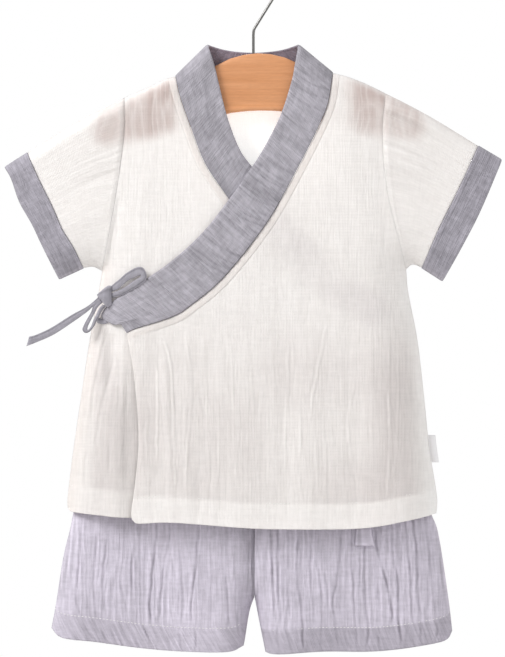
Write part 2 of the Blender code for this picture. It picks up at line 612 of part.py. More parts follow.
def build_shorts(mats):
    legs, waist = shorts_cloth()
    for name, sign, cloth, outer_line, inseam, hem in (
            ("left", -1, legs[0], SHORTS_OUTER_LEFT, INSEAM_LEFT, SHORTS_HEM_LEFT),
            ("right", 1, legs[1], SHORTS_OUTER_RIGHT, INSEAM_RIGHT, SHORTS_HEM_RIGHT)):
        top_z = WAIST_TOP_Z - WAISTBAND_HEIGHT - SEAM_GAP
        corner = (outer_line[1][0], top_z)
        outer = Line([corner] + outer_line[2:])
        rise = [(CENTRE_X, top_z), (CENTRE_X, (top_z + CROTCH_Z) / 2), (CENTRE_X, CROTCH_Z)]
        centre = Chain([rise, inseam], [0.82])
        grid = patch(centre, outer, Line([(CENTRE_X, top_z), corner]), Line(hem))
        rows = spaced((0.0, 5), (0.62, 3), (0.78, 2), (0.82, 2), (0.86, 1), (0.911, 1), (0.914, 1), (1.0, 0))
        cols = eased(16, 0.5)
        outer_rows, inner_rows = [], []
        for s in rows:
            size = 1.0 - 0.6 * smooth(s / 0.6)
            wall = HEM_WALL if s > 0.912 else GAUZE_WALL
            made = []
            for side, order in ((FRONT, cols), (BACK, cols[-2::-1])):
                for k, t in enumerate(order):
                    x, z = grid(s, t)
                    count = k if side == FRONT else len(cols) + k
                    ripple = size * (1 if count % 2 else -1)
                    edge = t == 1.0 or (t == 0.0 and s > 0.8)
                    gap = 0.0 if t == 1.0 else SEAM_GAP / 2
                    point, normal = cloth.place(x, z, side, 0.0 if edge else ripple, gap)
                    if t == 0.0 and s <= 0.82:
                        normal = Vector((0.0, normal.y, normal.z)).normalized()
                        point.x = CENTRE_X + sign * SEAM_GAP / 2
                    made.append((point, normal))
            if s == 0.0:
                made = [(Vector((p.x, p.y, top_z)), Vector((n.x, n.y, 0.0)).normalized()) for p, n in made]
            outer_rows.append([p for p, n in made])
            inner_rows.append([p - n * wall for p, n in made])
        shell("shorts_leg_" + name, outer_rows, inner_rows, mats["shorts"])
    build_waistband(waist, mats)
    build_waist_tie(legs[1], mats)


def build_waistband(cloth, mats):
    sides = [Line(points).poly for points in (SHORTS_OUTER_LEFT, SHORTS_OUTER_RIGHT)]
    outer, inner = [], []
    down = eased(32, 0.5)
    for s in (0.0, 0.5, 1.0):
        level = WAIST_TOP_Z - WAISTBAND_HEIGHT * s
        a, b = [np.array([np.interp(-level, -poly[:, 1], poly[:, 0]), level]) for poly in sides]
        made = []
        for side, order in ((FRONT, down), (BACK, down[-2:0:-1])):
            for k, t in enumerate(order):
                x, z = a + (b - a) * t
                count = k if side == FRONT else len(down) + k
                ripple = 0.0 if t in (0.0, 1.0) else (0.9 if count % 2 else -0.9)
                point, normal = cloth.place(x, z, side, ripple, 0.0)
                normal = Vector((normal.x, normal.y, 0.0)).normalized()
                made.append((Vector((point.x, point.y, z)), normal))
        outer.append([p for p, n in made])
        inner.append([p - n * WAISTBAND_WALL for p, n in made])
    return shell("waistband", outer, inner, mats["shorts"], ring=True)


def build_waist_tie(cloth, mats):
    def face_y(x, z):
        point, _ = cloth.place(x, z, FRONT)
        return point.y - 2.2
    return strap("waist_tie", WAIST_TIE, face_y, 1.4, mats["shorts"], 14)


def build_hanger(mats):
    """Flat shaped wood with rounded edges, and a blind hole for the hook's screw."""
    turn = math.radians(HANGER_TILT_DEG)
    profile = [(-x, t, b) for x, t, b in HANGER_PROFILE[:0:-1]] + HANGER_PROFILE
    rings = []
    for x, top, low in profile:
        high = top - low
        half = min(HANGER_THICK / 2, high / 2 + 1.0)
        radius = min(5.0, high / 2 - 0.2, half - 0.2)
        ring = []
        for cy, cz, first in ((1, 1, 0), (-1, 1, 90), (-1, -1, 180), (1, -1, 270)):
            for step in (0, 45, 90):
                a = math.radians(first + step)
                y = cy * (half - radius) + radius * math.cos(a)
                z = (top + low) / 2 + cz * (high / 2 - radius) + radius * math.sin(a)
                ring.append(Vector((HANGER_CENTRE_X + x * math.cos(turn) - z * math.sin(turn),
                                    y,
                                    HANGER_APEX_Z + x * math.sin(turn) + z * math.cos(turn))))
        rings.append(ring)
    wood = tube("hanger_wood", rings, mats["wood"])
    hole = bpy.data.meshes.new("screw_hole")
    bm = bmesh.new()
    bmesh.ops.create_cone(bm, cap_ends=True, segments=16, radius1=(HOOK_WIRE / 2 + HOOK_HOLE_CLEARANCE) * MM,
                          radius2=(HOOK_WIRE / 2 + HOOK_HOLE_CLEARANCE) * MM,
                          depth=(HOOK_SCREW_DEPTH + 0.4) * 2 * MM)
    bm.to_mesh(hole)
    bm.free()
    cutter = bpy.data.objects.new("screw_hole_cutter", hole)
    cutter.location = (0.0, 0.0, HANGER_APEX_Z * MM)
    cutter.hide_render = True
    cutter.display_type = "WIRE"
    bpy.context.scene.collection.objects.link(cutter)
    cut = wood.modifiers.new("screw_hole", "BOOLEAN")
    cut.operation = "DIFFERENCE"
    cut.solver = "EXACT"
    cut.object = cutter


def build_hook(mats):
    """Wire from the screw end, up to its knee, out to the right and over in an open bend."""
    centre_z = HOOK_WIRE / 2 - HOOK_BEND_RADIUS
    lean = math.radians(31.4)
    path = [Vector((0, 0, HANGER_APEX_Z - HOOK_SCREW_DEPTH)), Vector((0, 0, HANGER_APEX_Z + 4))]
    path += [Vector((0, 0, HOOK_KNEE_Z - 3.0)), Vector((0.4, 0, HOOK_KNEE_Z - 0.4)), Vector((1.8, 0, HOOK_KNEE_Z + 2.4))]
    bend_steps = 16
    for k in range(bend_steps + 1):
        a = -lean + (math.radians(205) + lean) * k / bend_steps
        path.append(Vector((HOOK_BEND_RADIUS * math.cos(a), 0, centre_z + HOOK_BEND_RADIUS * math.sin(a))))
    rings = []
    for k, p in enumerate(path):
        along = (path[min(k + 1, len(path) - 1)] - path[max(k - 1, 0)]).normalized()
        out = along.cross(Vector((0, 1, 0)))
        rings.append([p + (out * math.cos(a) + Vector((0, 1, 0)) * math.sin(a)) * HOOK_WIRE / 2
                      for a in (2 * math.pi * j / 8 for j in range(8))])
    return tube("hook", rings, mats["wire"])


def build():
    for obj in list(bpy.data.objects):
        bpy.data.objects.remove(obj, do_unlink=True)
    mats = {
        "gauze": material("white_double_gauze", (0.90, 0.88, 0.85), 0.9),
        "trim": material("grey_gauze_trim", (0.37, 0.36, 0.42), 0.9),
        "tie": material("grey_tie_tube", (0.36, 0.35, 0.41), 0.9),
        "label": material("woven_label", (0.80, 0.79, 0.86), 0.7),
        "shorts": material("lilac_double_gauze", (0.50, 0.47, 0.57), 0.9),
        "wood": material("beech_wood", (0.65, 0.32, 0.15), 0.45),
        "wire": material("steel_wire", (0.35, 0.35, 0.34), 0.3, 1.0),
    }
    cloth = top_cloth()
    build_top(cloth, mats)
    build_sleeves(cloth, mats)
    build_collar(cloth, mats)
    build_ties(cloth, mats)
    build_label(mats)
    build_shorts(mats)
    build_hanger(mats)
    build_hook(mats)


build()
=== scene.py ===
# %% [markdown]
# # A toddler's wrap top and shorts, hung on a wooden hanger
# The set is sewn from double gauze: two open layers of cotton muslin, tacked together, that
# shrink into long fine creases when they are washed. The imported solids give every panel's place.
# This script loads them as a fixed frame and dresses each panel as a thin, creased shell.

# %% The frame and the units
import math
import bmesh
import bpy
import numpy as np
from mathutils import Matrix, Vector


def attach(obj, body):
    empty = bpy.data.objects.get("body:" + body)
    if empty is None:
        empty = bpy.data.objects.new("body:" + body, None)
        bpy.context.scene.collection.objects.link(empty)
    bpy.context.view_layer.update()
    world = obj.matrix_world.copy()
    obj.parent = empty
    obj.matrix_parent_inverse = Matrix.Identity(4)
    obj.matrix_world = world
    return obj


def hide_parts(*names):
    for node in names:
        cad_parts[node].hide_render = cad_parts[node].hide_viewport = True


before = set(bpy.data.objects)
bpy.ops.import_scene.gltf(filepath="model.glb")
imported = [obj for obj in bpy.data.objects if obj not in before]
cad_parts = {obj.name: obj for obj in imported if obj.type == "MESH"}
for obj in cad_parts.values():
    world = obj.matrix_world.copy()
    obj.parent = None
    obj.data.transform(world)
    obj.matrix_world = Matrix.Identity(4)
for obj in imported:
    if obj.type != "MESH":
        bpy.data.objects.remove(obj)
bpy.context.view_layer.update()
MM = 0.001
FRONT, BACK = -1.0, 1.0

# %% [markdown]
# ## Camera
# The garment was photographed square on, from about as high as its middle. A long lens from
# 4 m keeps the hems nearly straight. The frame's height is 657 pixels of 0.87 mm, measured in
# the plane of the garment's front face.

# %% Camera
MM_PER_PIXEL = 0.87
PHOTO_HEIGHT_PX = 657
CAMERA_DISTANCE = 4.0
FRONT_FACE = 0.014
SENSOR_MM = 36.0
CAMERA_X, CAMERA_Z = -0.0008, -0.3122
VIEW_HEIGHT = PHOTO_HEIGHT_PX * MM_PER_PIXEL * MM
camera_data = bpy.data.cameras.new("camera")
camera_data.sensor_fit = "VERTICAL"
camera_data.sensor_height = SENSOR_MM
camera_data.lens = SENSOR_MM * (CAMERA_DISTANCE - FRONT_FACE) / VIEW_HEIGHT
camera = bpy.data.objects.new("camera", camera_data)
camera.location = (CAMERA_X, -CAMERA_DISTANCE, CAMERA_Z)
camera.rotation_euler = (math.pi / 2, 0.0, 0.0)
bpy.context.scene.collection.objects.link(camera)
bpy.context.scene.camera = camera
print("lens", round(camera_data.lens, 1), "mm")

# %% [markdown]
# ## The cut of the pieces
# Each table is a seam or an edge of the laid-out garment, in millimetres, as columns x and z.
# They are the same few points that the solids were made from, so every shell lies on its solid.

# %% Seams and edges of the top
SLEEVE_TOP_LEFT = [(-197.2, -158.7), (-178.5, -146.7), (-145.6, -127.2), (-124.6, -117.4), (-112.6, -110.8)]
SLEEVE_TOP_RIGHT = [(196.3, -152.8), (176.8, -140.7), (154.3, -127.2), (131.9, -115.2), (115.4, -107.0)]
SHOULDER_LEFT = [(-112.6, -110.8), (-90.0, -100.8), (-78.8, -95.2), (-68.2, -92.0)]
SHOULDER_RIGHT = [(115.4, -107.0), (100.0, -99.4), (84.0, -93.0), (69.5, -89.1)]
COLLAR_CORNER_LEFT = (-40.0, -64.2)
COLLAR_CORNER_RIGHT = (39.3, -64.2)
CUFF_TOP_LEFT = (-217.3, -171.5)
CUFF_TOP_RIGHT = (216.9, -165.0)
CUFF_SEAM_LEFT = [(-197.2, -158.7), (-187.1, -181.6), (-174.7, -206.5), (-166.4, -225.7), (-156.3, -242.2),
                  (-148.4, -259.4)]
CUFF_SEAM_RIGHT = [(196.3, -152.8), (176.8, -194.6), (161.8, -224.6), (146.9, -259.1)]
CUFF_END_LEFT = [(-217.3, -171.5), (-211.3, -181.6), (-203.8, -202.4), (-193.0, -221.5), (-183.1, -242.3),
                 (-169.7, -269.2)]
CUFF_END_RIGHT = [(216.9, -165.0), (197.9, -209.6), (182.0, -240.5), (165.2, -270.9)]
SLEEVE_LOW_LEFT = [(-148.4, -259.4), (-140.0, -258.4), (-132.1, -262.0)]
SLEEVE_LOW_RIGHT = [(146.9, -259.1), (139.0, -256.4), (133.4, -260.5)]
ARMHOLE_LEFT = [(-112.6, -110.8), (-112.6, -143.9), (-120.4, -200.4), (-132.1, -262.0)]
ARMHOLE_RIGHT = [(115.4, -107.0), (112.4, -143.3), (116.9, -194.4), (133.4, -260.5)]
SIDE_LEFT = [(-132.1, -262.0), (-135.2, -280.5), (-143.0, -322.2), (-150.9, -374.5), (-157.0, -416.2),
             (-162.2, -458.0), (-162.2, -468.6)]
SIDE_RIGHT = [(133.4, -260.5), (135.2, -280.5), (143.2, -322.2), (149.3, -374.5), (153.6, -416.2),
              (160.2, -458.0), (159.7, -473.4)]
HEM_BACK = [(-162.2, -468.6), (-60.0, -477.0), (60.0, -479.0), (159.7, -473.4)]
HEM_UNDER = [(-162.2, -468.6), (-158.5, -471.6), (-149.0, -472.9), (-133.2, -474.4), (-107.5, -476.4),
             (0.0, -478.5), (103.0, -478.8)]
HEM_OVER = [(-105.6, -480.4), (-98.0, -481.4), (-69.5, -480.6), (-11.7, -484.9), (24.9, -486.3),
            (92.1, -485.6), (134.9, -478.8), (159.7, -473.4)]
FREE_EDGE_OVER = [(-109.6, -316.4), (-103.5, -353.5), (-99.5, -408.3), (-103.1, -451.0), (-105.6, -469.0),
                  (-105.6, -480.4)]
FREE_EDGE_UNDER = [(100.0, -309.0), (105.0, -360.0), (104.0, -430.0), (103.0, -478.8)]
NECK_SEAM_BACK = [(-68.2, -92.0), (-40.0, -98.5), (0.0, -101.0), (40.0, -97.5), (69.5, -89.1)]
NECK_EDGE_BACK = [(-40.0, -64.2), (-22.0, -69.0), (0.0, -70.8), (22.0, -69.0), (39.3, -64.2)]
BAND_SEAM_OVER = [(69.5, -89.1), (65.4, -115.2), (57.6, -135.2), (39.8, -170.7), (12.0, -220.1),
                  (-25.7, -268.1), (-55.7, -293.5), (-70.6, -302.5), (-100.6, -312.2), (-109.6, -316.4)]
BAND_EDGE_OVER = [(39.3, -64.2), (36.2, -81.3), (33.4, -96.0), (24.9, -123.0), (14.4, -145.2), (-1.2, -171.3),
                  (-39.2, -223.1), (-70.6, -253.1), (-100.6, -274.0), (-124.6, -291.3), (-131.6, -300.5)]
BAND_SEAM_UNDER = [(-68.2, -92.0), (-63.9, -110.8), (-51.7, -145.2), (-41.2, -170.7), (-21.9, -199.1),
                   (-1.0, -230.0), (26.0, -261.0), (56.0, -286.0), (100.0, -309.0)]
BAND_EDGE_UNDER = [(-40.0, -64.2), (-33.9, -83.0), (-23.4, -125.6), (-12.3, -155.2), (-1.2, -171.3),
                   (14.0, -190.0), (38.0, -220.0), (62.0, -243.0), (88.0, -265.0), (112.0, -286.0)]

# %% Seams and edges of the shorts
SHORTS_OUTER_LEFT = [(-106.0, -325.0), (-112.0, -345.0), (-139.0, -395.0), (-151.5, -450.0), (-157.0, -472.0),
                     (-160.0, -487.0), (-166.0, -512.0), (-172.3, -552.0), (-176.3, -573.5)]
SHORTS_OUTER_RIGHT = [(108.0, -325.0), (114.0, -345.0), (139.0, -395.0), (149.0, -450.0), (155.0, -473.0),
                      (160.4, -487.0), (165.0, -512.0), (170.9, -552.8), (173.6, -576.0)]
INSEAM_LEFT = [(1.0, -546.0), (-3.4, -558.9), (-7.4, -583.2), (-8.6, -589.0)]
INSEAM_RIGHT = [(1.0, -546.0), (4.6, -565.0), (7.0, -577.2), (10.5, -594.5)]
SHORTS_HEM_LEFT = [(-8.6, -589.0), (-23.3, -593.5), (-63.6, -592.8), (-100.4, -589.6), (-136.9, -584.7),
                   (-166.0, -581.2), (-176.3, -573.5)]
SHORTS_HEM_RIGHT = [(10.5, -594.5), (22.0, -595.6), (60.0, -593.0), (98.2, -593.1), (122.6, -591.4),
                    (147.0, -587.8), (167.0, -583.4), (173.6, -576.0)]
CENTRE_X = 1.0
CROTCH_Z = -546.0
WAIST_TOP_Z = -325.0
WAISTBAND_HEIGHT = 20.0

# %% [markdown]
# ## Depth
# Cloth on a hanger is a flat envelope: it closes along its folded edges and opens towards its
# middle. The depth tables say how far front and back stand from the middle plane at each height,
# and a quarter-ellipse carries that depth in from the nearest folded edge.

# %% Depth tables and sizes
TOP_DEPTH = [(-60.0, 9.0, 9.0), (-150.0, 9.2, 9.2), (-200.0, 10.5, 10.0), (-260.0, 13.5, 12.0),
             (-320.0, 18.0, 15.0), (-380.0, 22.0, 18.0), (-440.0, 25.0, 20.5), (-490.0, 26.5, 21.5)]
SHORTS_DEPTH = [(-320.0, 9.0, 9.0), (-345.0, 10.0, 9.0), (-380.0, 13.5, 11.0), (-430.0, 16.0, 13.0),
                (-480.0, 17.5, 13.6), (-600.0, 19.0, 16.0)]
SHORTS_SHIFT = [(-325.0, 3.7), (-345.0, 4.6), (-400.0, 3.5), (-450.0, 1.0), (-470.0, 0.2), (-600.0, 0.2)]
SHOULDER_TURN = 11.0
SIDE_TURN = 45.0
SHORTS_SIDE_TURN = 26.0
INSEAM_TURN = 24.0
EDGE_SNAP = 0.7
FOLD_OPENING = 0.45
GAUZE_WALL = 0.8
BAND_WALL = 1.9
BAND_PROUD = 0.4
WRAP_STEP = 2.8
ARMHOLE_TURN = 0.42
OVER_CORNER = 0.55
UNDER_CORNER = 0.6
NECK_START = 0.2
CENTRE_TURN = 0.82


# %% Curves and distances
def smooth(u):
    """Soft step from 0 to 1."""
    u = np.clip(u, 0.0, 1.0)
    return u * u * (3 - 2 * u)


def bell(off, width):
    """1 on a line, falling softly to nothing on both sides of it."""
    return np.exp(-(off / width) ** 2)


def below(xz, level, reach):
    """0 above a level and 1 from so far under it."""
    return smooth((level - xz[:, 1]) / reach)


class Line:
    """Smooth curve through a few points of a plane, read by the fraction of its length."""

    def __init__(self, points, steps=8):
        pts = [np.array(p, float) for p in points]
        ends = [2 * pts[0] - pts[1]] + pts + [2 * pts[-1] - pts[-2]]
        dense = []
        for a, b, c, d in zip(ends, ends[1:], ends[2:], ends[3:]):
            for k in range(steps):
                u = k / steps
                dense.append(0.5 * (2 * b + (c - a) * u + (2 * a - 5 * b + 4 * c - d) * u * u
                                    + (3 * b - a - 3 * c + d) * u ** 3))
        dense.append(pts[-1])
        self.poly = np.array(dense)
        self.length = np.concatenate([[0], np.cumsum(np.linalg.norm(np.diff(self.poly, axis=0), axis=1))])

    def at(self, s):
        want = np.asarray(s, float) * self.length[-1]
        return np.stack([np.interp(want, self.length, column) for column in self.poly.T], -1)


class Chain:
    """Curves one after the other; turns are the fractions at which the next one starts."""

    def __init__(self, curves, turns):
        self.lines = [Line(points) for points in curves]
        self.stops = [0.0] + list(turns) + [1.0]

    def at(self, s):
        s = np.atleast_1d(np.asarray(s, float))
        out = np.zeros(s.shape + (2,))
        for k, line in enumerate(self.lines):
            a, b = self.stops[k], self.stops[k + 1]
            here = (s <= b) if k == 0 else (s > a) & (s <= b)
            out[here] = line.at((s[here] - a) / (b - a))
        return out


def patch(left, right, top, low):
    """Coons patch between four boundary curves; s runs down and t runs left to right."""
    corners = [edge.at(end) for end in (0.0, 1.0) for edge in (left, right)]
    c00, c01, c10, c11 = [np.reshape(corner, 2) for corner in corners]

    def at(s, t):
        u, v = s[:, None], t[:, None]
        sides = (1 - v) * left.at(s) + v * right.at(s) + (1 - u) * top.at(t) + u * low.at(t)
        return sides - ((1 - u) * (1 - v) * c00 + (1 - u) * v * c01 + u * (1 - v) * c10 + u * v * c11)
    return at


def foot_on(xz, start, end):
    """Index of the nearest of the segments start-end, its distance, and the way from it to each point."""
    index, gap, away = [], [], []
    run = end - start
    square = (run * run).sum(1)
    for part in np.array_split(xz, max(1, len(xz) // 3000)):
        off = part[:, None, :] - start[None]
        u = np.clip((off * run[None]).sum(2) / square, 0, 1)
        off -= run[None] * u[:, :, None]
        size = np.sqrt((off * off).sum(2))
        k = size.argmin(1)
        index.append(k)
        gap.append(size[np.arange(len(k)), k])
        away.append(off[np.arange(len(k)), k])
    return np.concatenate(index), np.concatenate(gap), np.concatenate(away)


def distance(xz, *lines):
    """Distance from each point to the nearest of some Lines."""
    start = np.concatenate([line.poly[:-1] for line in lines])
    end = np.concatenate([line.poly[1:] for line in lines])
    return foot_on(xz, start, end)[1]


# %% The depth model
class Outline:
    """Folded edges: each curve comes with a point well inside the cloth beside it."""

    def __init__(self, curves, turn):
        self.start = np.concatenate([c.poly[:-1] for c, _ in curves])
        self.end = np.concatenate([c.poly[1:] for c, _ in curves])
        self.inside = np.concatenate([[point] * (len(c.poly) - 1) for c, point in curves])
        self.turn = turn

    def rise(self, xz):
        """Share of the full depth, its slope and way up, which points are on the edge, how far they are."""
        k, gap, away = foot_on(xz, self.start, self.end)
        run = self.end[k] - self.start[k]
        square = np.stack([-run[:, 1], run[:, 0]], 1)
        square[(square * (self.inside[k] - self.start[k])).sum(1) < 0] *= -1
        edge = gap < EDGE_SNAP
        away = np.where(edge[:, None], square, away)
        away /= np.linalg.norm(away, axis=1)[:, None]
        u = np.clip((gap - EDGE_SNAP) / self.turn, 0, 1)
        share = np.sqrt(1 - (1 - u) ** 2)
        slope = (1 - u) / np.maximum(share, 0.02) / self.turn
        return share, slope, away, edge, gap


class Cloth:
    """A garment seen flat: folded edges, and depths by height in front and behind."""

    def __init__(self, outlines, depths, shift=((0.0, 0.0), (-1000.0, 0.0))):
        self.outlines, self.depths, self.shift = outlines, np.array(depths), np.array(shift)

    def place(self, xz, side, lift=0.0, bumps=0.0):
        """Points of the outer face and the outward directions there."""
        side = np.broadcast_to(side, len(xz))
        height = -self.depths[:, 0]
        depth = np.where(side < 0, np.interp(-xz[:, 1], height, self.depths[:, 1]),
                         np.interp(-xz[:, 1], height, self.depths[:, 2]))
        parts = [outline.rise(xz) for outline in self.outlines]
        share = np.prod([p[0] for p in parts], axis=0)
        grad = np.zeros_like(xz)
        normal = np.zeros((len(xz), 3))
        taken = np.zeros(len(xz), bool)
        off_edge = np.minimum(np.min([p[4] for p in parts], axis=0) / EDGE_SNAP, 1.0)
        for k, (_, slope, away, edge, _) in enumerate(parts):
            others = np.prod([p[0] for j, p in enumerate(parts) if j != k], axis=0)
            grad += (depth * slope * others)[:, None] * away
            here = edge & ~taken
            outward = (1 - off_edge[here])[:, None] * -away[here]
            normal[here] = np.stack([outward[:, 0], side[here] * off_edge[here], outward[:, 1]], 1)
            taken |= edge
        flat = ~taken
        normal[flat] = np.stack([-grad[flat, 0], side[flat], -grad[flat, 1]], 1)
        normal /= np.linalg.norm(normal, axis=1)[:, None]
        middle = np.interp(-xz[:, 1], -self.shift[:, 0], self.shift[:, 1])
        points = np.stack([xz[:, 0], middle + side * (FOLD_OPENING * off_edge + depth * share), xz[:, 1]], 1)
        return points + normal * (lift + share * bumps)[:, None], normal


BODY, ARM_LEFT, ARM_RIGHT = (0.0, -200.0), (-165.0, -205.0), (165.0, -205.0)
upper_edges = [(Line(SHOULDER_LEFT), BODY), (Line(SHOULDER_RIGHT), BODY),
               (Line([SHOULDER_LEFT[-1], COLLAR_CORNER_LEFT]), BODY),
               (Line([SHOULDER_RIGHT[-1], COLLAR_CORNER_RIGHT]), BODY),
               (Line(SLEEVE_TOP_LEFT), ARM_LEFT), (Line([SLEEVE_TOP_LEFT[0], CUFF_TOP_LEFT]), ARM_LEFT),
               (Line(SLEEVE_TOP_RIGHT), ARM_RIGHT), (Line([SLEEVE_TOP_RIGHT[0], CUFF_TOP_RIGHT]), ARM_RIGHT)]
lower_edges = [(Line(SIDE_LEFT), BODY), (Line(SIDE_RIGHT), BODY),
               (Line(SLEEVE_LOW_LEFT), ARM_LEFT), (Line(SLEEVE_LOW_RIGHT), ARM_RIGHT),
               (Line([CUFF_END_LEFT[-1], CUFF_SEAM_LEFT[-1]]), ARM_LEFT),
               (Line([CUFF_END_RIGHT[-1], CUFF_SEAM_RIGHT[-1]]), ARM_RIGHT)]
top = Cloth([Outline(upper_edges, SHOULDER_TURN), Outline(lower_edges, SIDE_TURN)], TOP_DEPTH)
shorts_edges = [(Line(SHORTS_OUTER_LEFT), (0.0, -450.0)), (Line(SHORTS_OUTER_RIGHT), (0.0, -450.0))]
leg_cloth = {}
for which, inseam, inside_x in (("left", INSEAM_LEFT, -80.0), ("right", INSEAM_RIGHT, 80.0)):
    leg_edges = [Outline(shorts_edges, SHORTS_SIDE_TURN),
                 Outline([(Line(inseam), (inside_x, -570.0))], INSEAM_TURN)]
    leg_cloth[which] = Cloth(leg_edges, SHORTS_DEPTH, SHORTS_SHIFT)
waist_cloth = Cloth([Outline(shorts_edges, SHORTS_SIDE_TURN)], SHORTS_DEPTH, SHORTS_SHIFT)
print("depth model ready")

# %% [markdown]
# ## Creases of the gauze
# Washed double gauze has no straight pleats. Its creases are long, thin and uneven: they run with
# the warp, join and part again. A smooth random field, stretched along the warp, has just such
# lines where it passes through zero, so the cloth puffs up between them and dips on them.

# %% Creases
lattice = np.random.default_rng(7).uniform(-1, 1, (256, 256))


def field(u, v, seed=0):
    """Smooth random field between -1 and 1 with features about one unit wide."""
    u, v = u + 37.3 * seed, v + 19.7 * seed
    iu, iv = np.floor(u).astype(int), np.floor(v).astype(int)
    fu, fv = u - iu, v - iv
    fu, fv = fu ** 3 * (fu * (fu * 6 - 15) + 10), fv ** 3 * (fv * (fv * 6 - 15) + 10)
    a, b = lattice[iu & 255, iv & 255], lattice[(iu + 1) & 255, iv & 255]
    c, d = lattice[iu & 255, (iv + 1) & 255], lattice[(iu + 1) & 255, (iv + 1) & 255]
    return a * (1 - fu) * (1 - fv) + b * fu * (1 - fv) + c * (1 - fu) * fv + d * fu * fv


def creases(across, along, spacing, length, seed=0):
    """Height from 0 on a crease to about 1 between creases; across and along are in millimetres."""
    warp = 0.9 * spacing * field(across / (4 * spacing), along / (0.5 * length), seed + 5)
    n = field((across + warp) / spacing, along / length, seed)
    return np.minimum(np.abs(n) * 1.7, 1.0) ** 0.65


def ridge(xz, x_top, z_top, x_low, z_low, half_width, height):
    """Soft ridge, or trough where height is negative, that fades out at both ends."""
    u = (z_top - xz[:, 1]) / (z_top - z_low)
    off = (xz[:, 0] - (x_top + (x_low - x_top) * u)) / half_width
    return height * smooth(u / 0.25) * smooth((1.15 - u) / 0.15) * np.exp(-off * off)


# Largest folds: columns x and z at the upper and lower end, half-width, height
FRONT_FOLDS = [
    (-124.5, -313.0, -121.0, -356.0, 8.0, -2.2), (-137.0, -312.0, -152.0, -470.0, 9.0, 1.6),
    (-116.0, -318.0, -119.0, -476.0, 9.0, 1.6), (-80.0, -330.0, -62.0, -480.0, 15.0, 1.2),
    (-30.0, -300.0, -12.0, -484.0, 17.0, 1.0), (52.0, -290.0, 48.0, -485.0, 16.0, 1.1),
    (104.0, -270.0, 110.0, -480.0, 15.0, 1.3), (-121.0, -190.0, -124.0, -250.0, 8.0, -1.5),
]
BACK_FOLDS = [
    (-70.0, -220.0, -78.0, -474.0, 16.0, 1.3), (-10.0, -240.0, 4.0, -477.0, 18.0, 1.2),
    (64.0, -220.0, 76.0, -476.0, 16.0, 1.3),
]
# Smaller folds that only the shells carry, in the same columns
FRONT_CREASES = [
    (-78.0, -318.0, -70.0, -470.0, 3.2, 0.7), (-86.0, -320.0, -84.0, -440.0, 4.5, -0.5),
    (-58.0, -300.0, -57.0, -455.0, 4.0, 0.5), (-40.0, -325.0, -47.0, -470.0, 5.0, -0.5),
    (-100.0, -330.0, -96.0, -420.0, 4.0, 0.5), (-18.0, -330.0, -26.0, -465.0, 5.0, -0.45),
    (12.0, -280.0, 20.0, -430.0, 5.5, 0.45), (34.0, -330.0, 30.0, -470.0, 5.0, -0.4),
    (72.0, -250.0, 76.0, -430.0, 6.0, 0.45), (92.0, -350.0, 88.0, -470.0, 5.0, -0.5),
    (128.0, -290.0, 140.0, -450.0, 6.0, 0.6), (60.0, -180.0, 84.0, -270.0, 7.0, 0.4),
    (-128.0, -330.0, -138.0, -460.0, 3.5, 0.6), (-110.0, -335.0, -110.0, -440.0, 3.5, -0.6),
    (-119.0, -330.0, -126.0, -400.0, 3.0, 0.5), (-90.0, -150.0, -100.0, -260.0, 7.0, 0.4),
    (-60.0, -190.0, -70.0, -260.0, 6.0, -0.35), (100.0, -140.0, 106.0, -220.0, 6.0, 0.4),
]
BACK_CREASES = [
    (-96.0, -150.0, -110.0, -460.0, 6.0, 0.6), (-44.0, -140.0, -40.0, -440.0, 5.0, 0.5),
    (-24.0, -200.0, -30.0, -470.0, 5.0, -0.5), (22.0, -150.0, 30.0, -460.0, 5.5, 0.5),
    (44.0, -210.0, 46.0, -470.0, 5.0, -0.5), (94.0, -140.0, 112.0, -460.0, 6.0, 0.6),
]


def folds(xz, *tables):
    return sum(ridge(xz, *row) for table in tables for row in table)


# %% [markdown]
# Where the photograph shows one particular crease, its path is written down: a strength and a few
# points, in millimetres, from its upper end to its lower one. Such a crease is a narrow groove
# between two soft crests, or turned over a narrow ridge. It wanders a little, as a crease that
# was only crumpled in does.

# %% Placed creases
# White cloth below the tie: strength, then x and z down the path
WHITE_RIDGES = [
    (1.2, [(-77, -321), (-72, -341), (-70, -368), (-69, -403), (-68, -449)]),
    (0.8, [(-84, -345), (-83, -378), (-84, -427)]),
    (0.8, [(-60, -313), (-55, -345), (-54, -378), (-57, -412), (-59, -451)]),
    (0.7, [(-41, -356), (-40, -403), (-39, -451)]),
    (0.6, [(-31, -373), (-30, -415), (-32, -451)]),
    (0.8, [(-19, -337), (-18, -373), (-17, -410), (-14, -451)]),
    (0.7, [(-93, -378), (-92, -427), (-90, -449)]),
    (0.8, [(-3, -335), (0, -383), (3, -421), (5, -458)]),
    (0.7, [(10, -351), (12, -390), (13, -427), (13, -458)]),
    (0.9, [(30, -320), (30, -357), (28, -398), (27, -445)]),
    (1.1, [(63, -309), (59, -332), (54, -356), (51, -373), (49, -395)]),
    (1.0, [(40, -378), (41, -410), (39, -437), (42, -461)]),
    (0.6, [(54, -407), (55, -439), (57, -456)]),
    (0.7, [(62, -405), (63, -451)]),
    (0.7, [(77, -384), (77, -421), (78, -451)]),
    (0.8, [(88, -356), (84, -378), (82, -398), (86, -433)]),
    (0.8, [(104, -363), (102, -390), (103, -427)]),
    (1.1, [(117, -320), (117, -366), (118, -410), (116, -458)]),
    (0.9, [(125, -329), (125, -373), (123, -415), (121, -445)]),
    (0.7, [(135, -324), (134, -373), (136, -445)]),
]
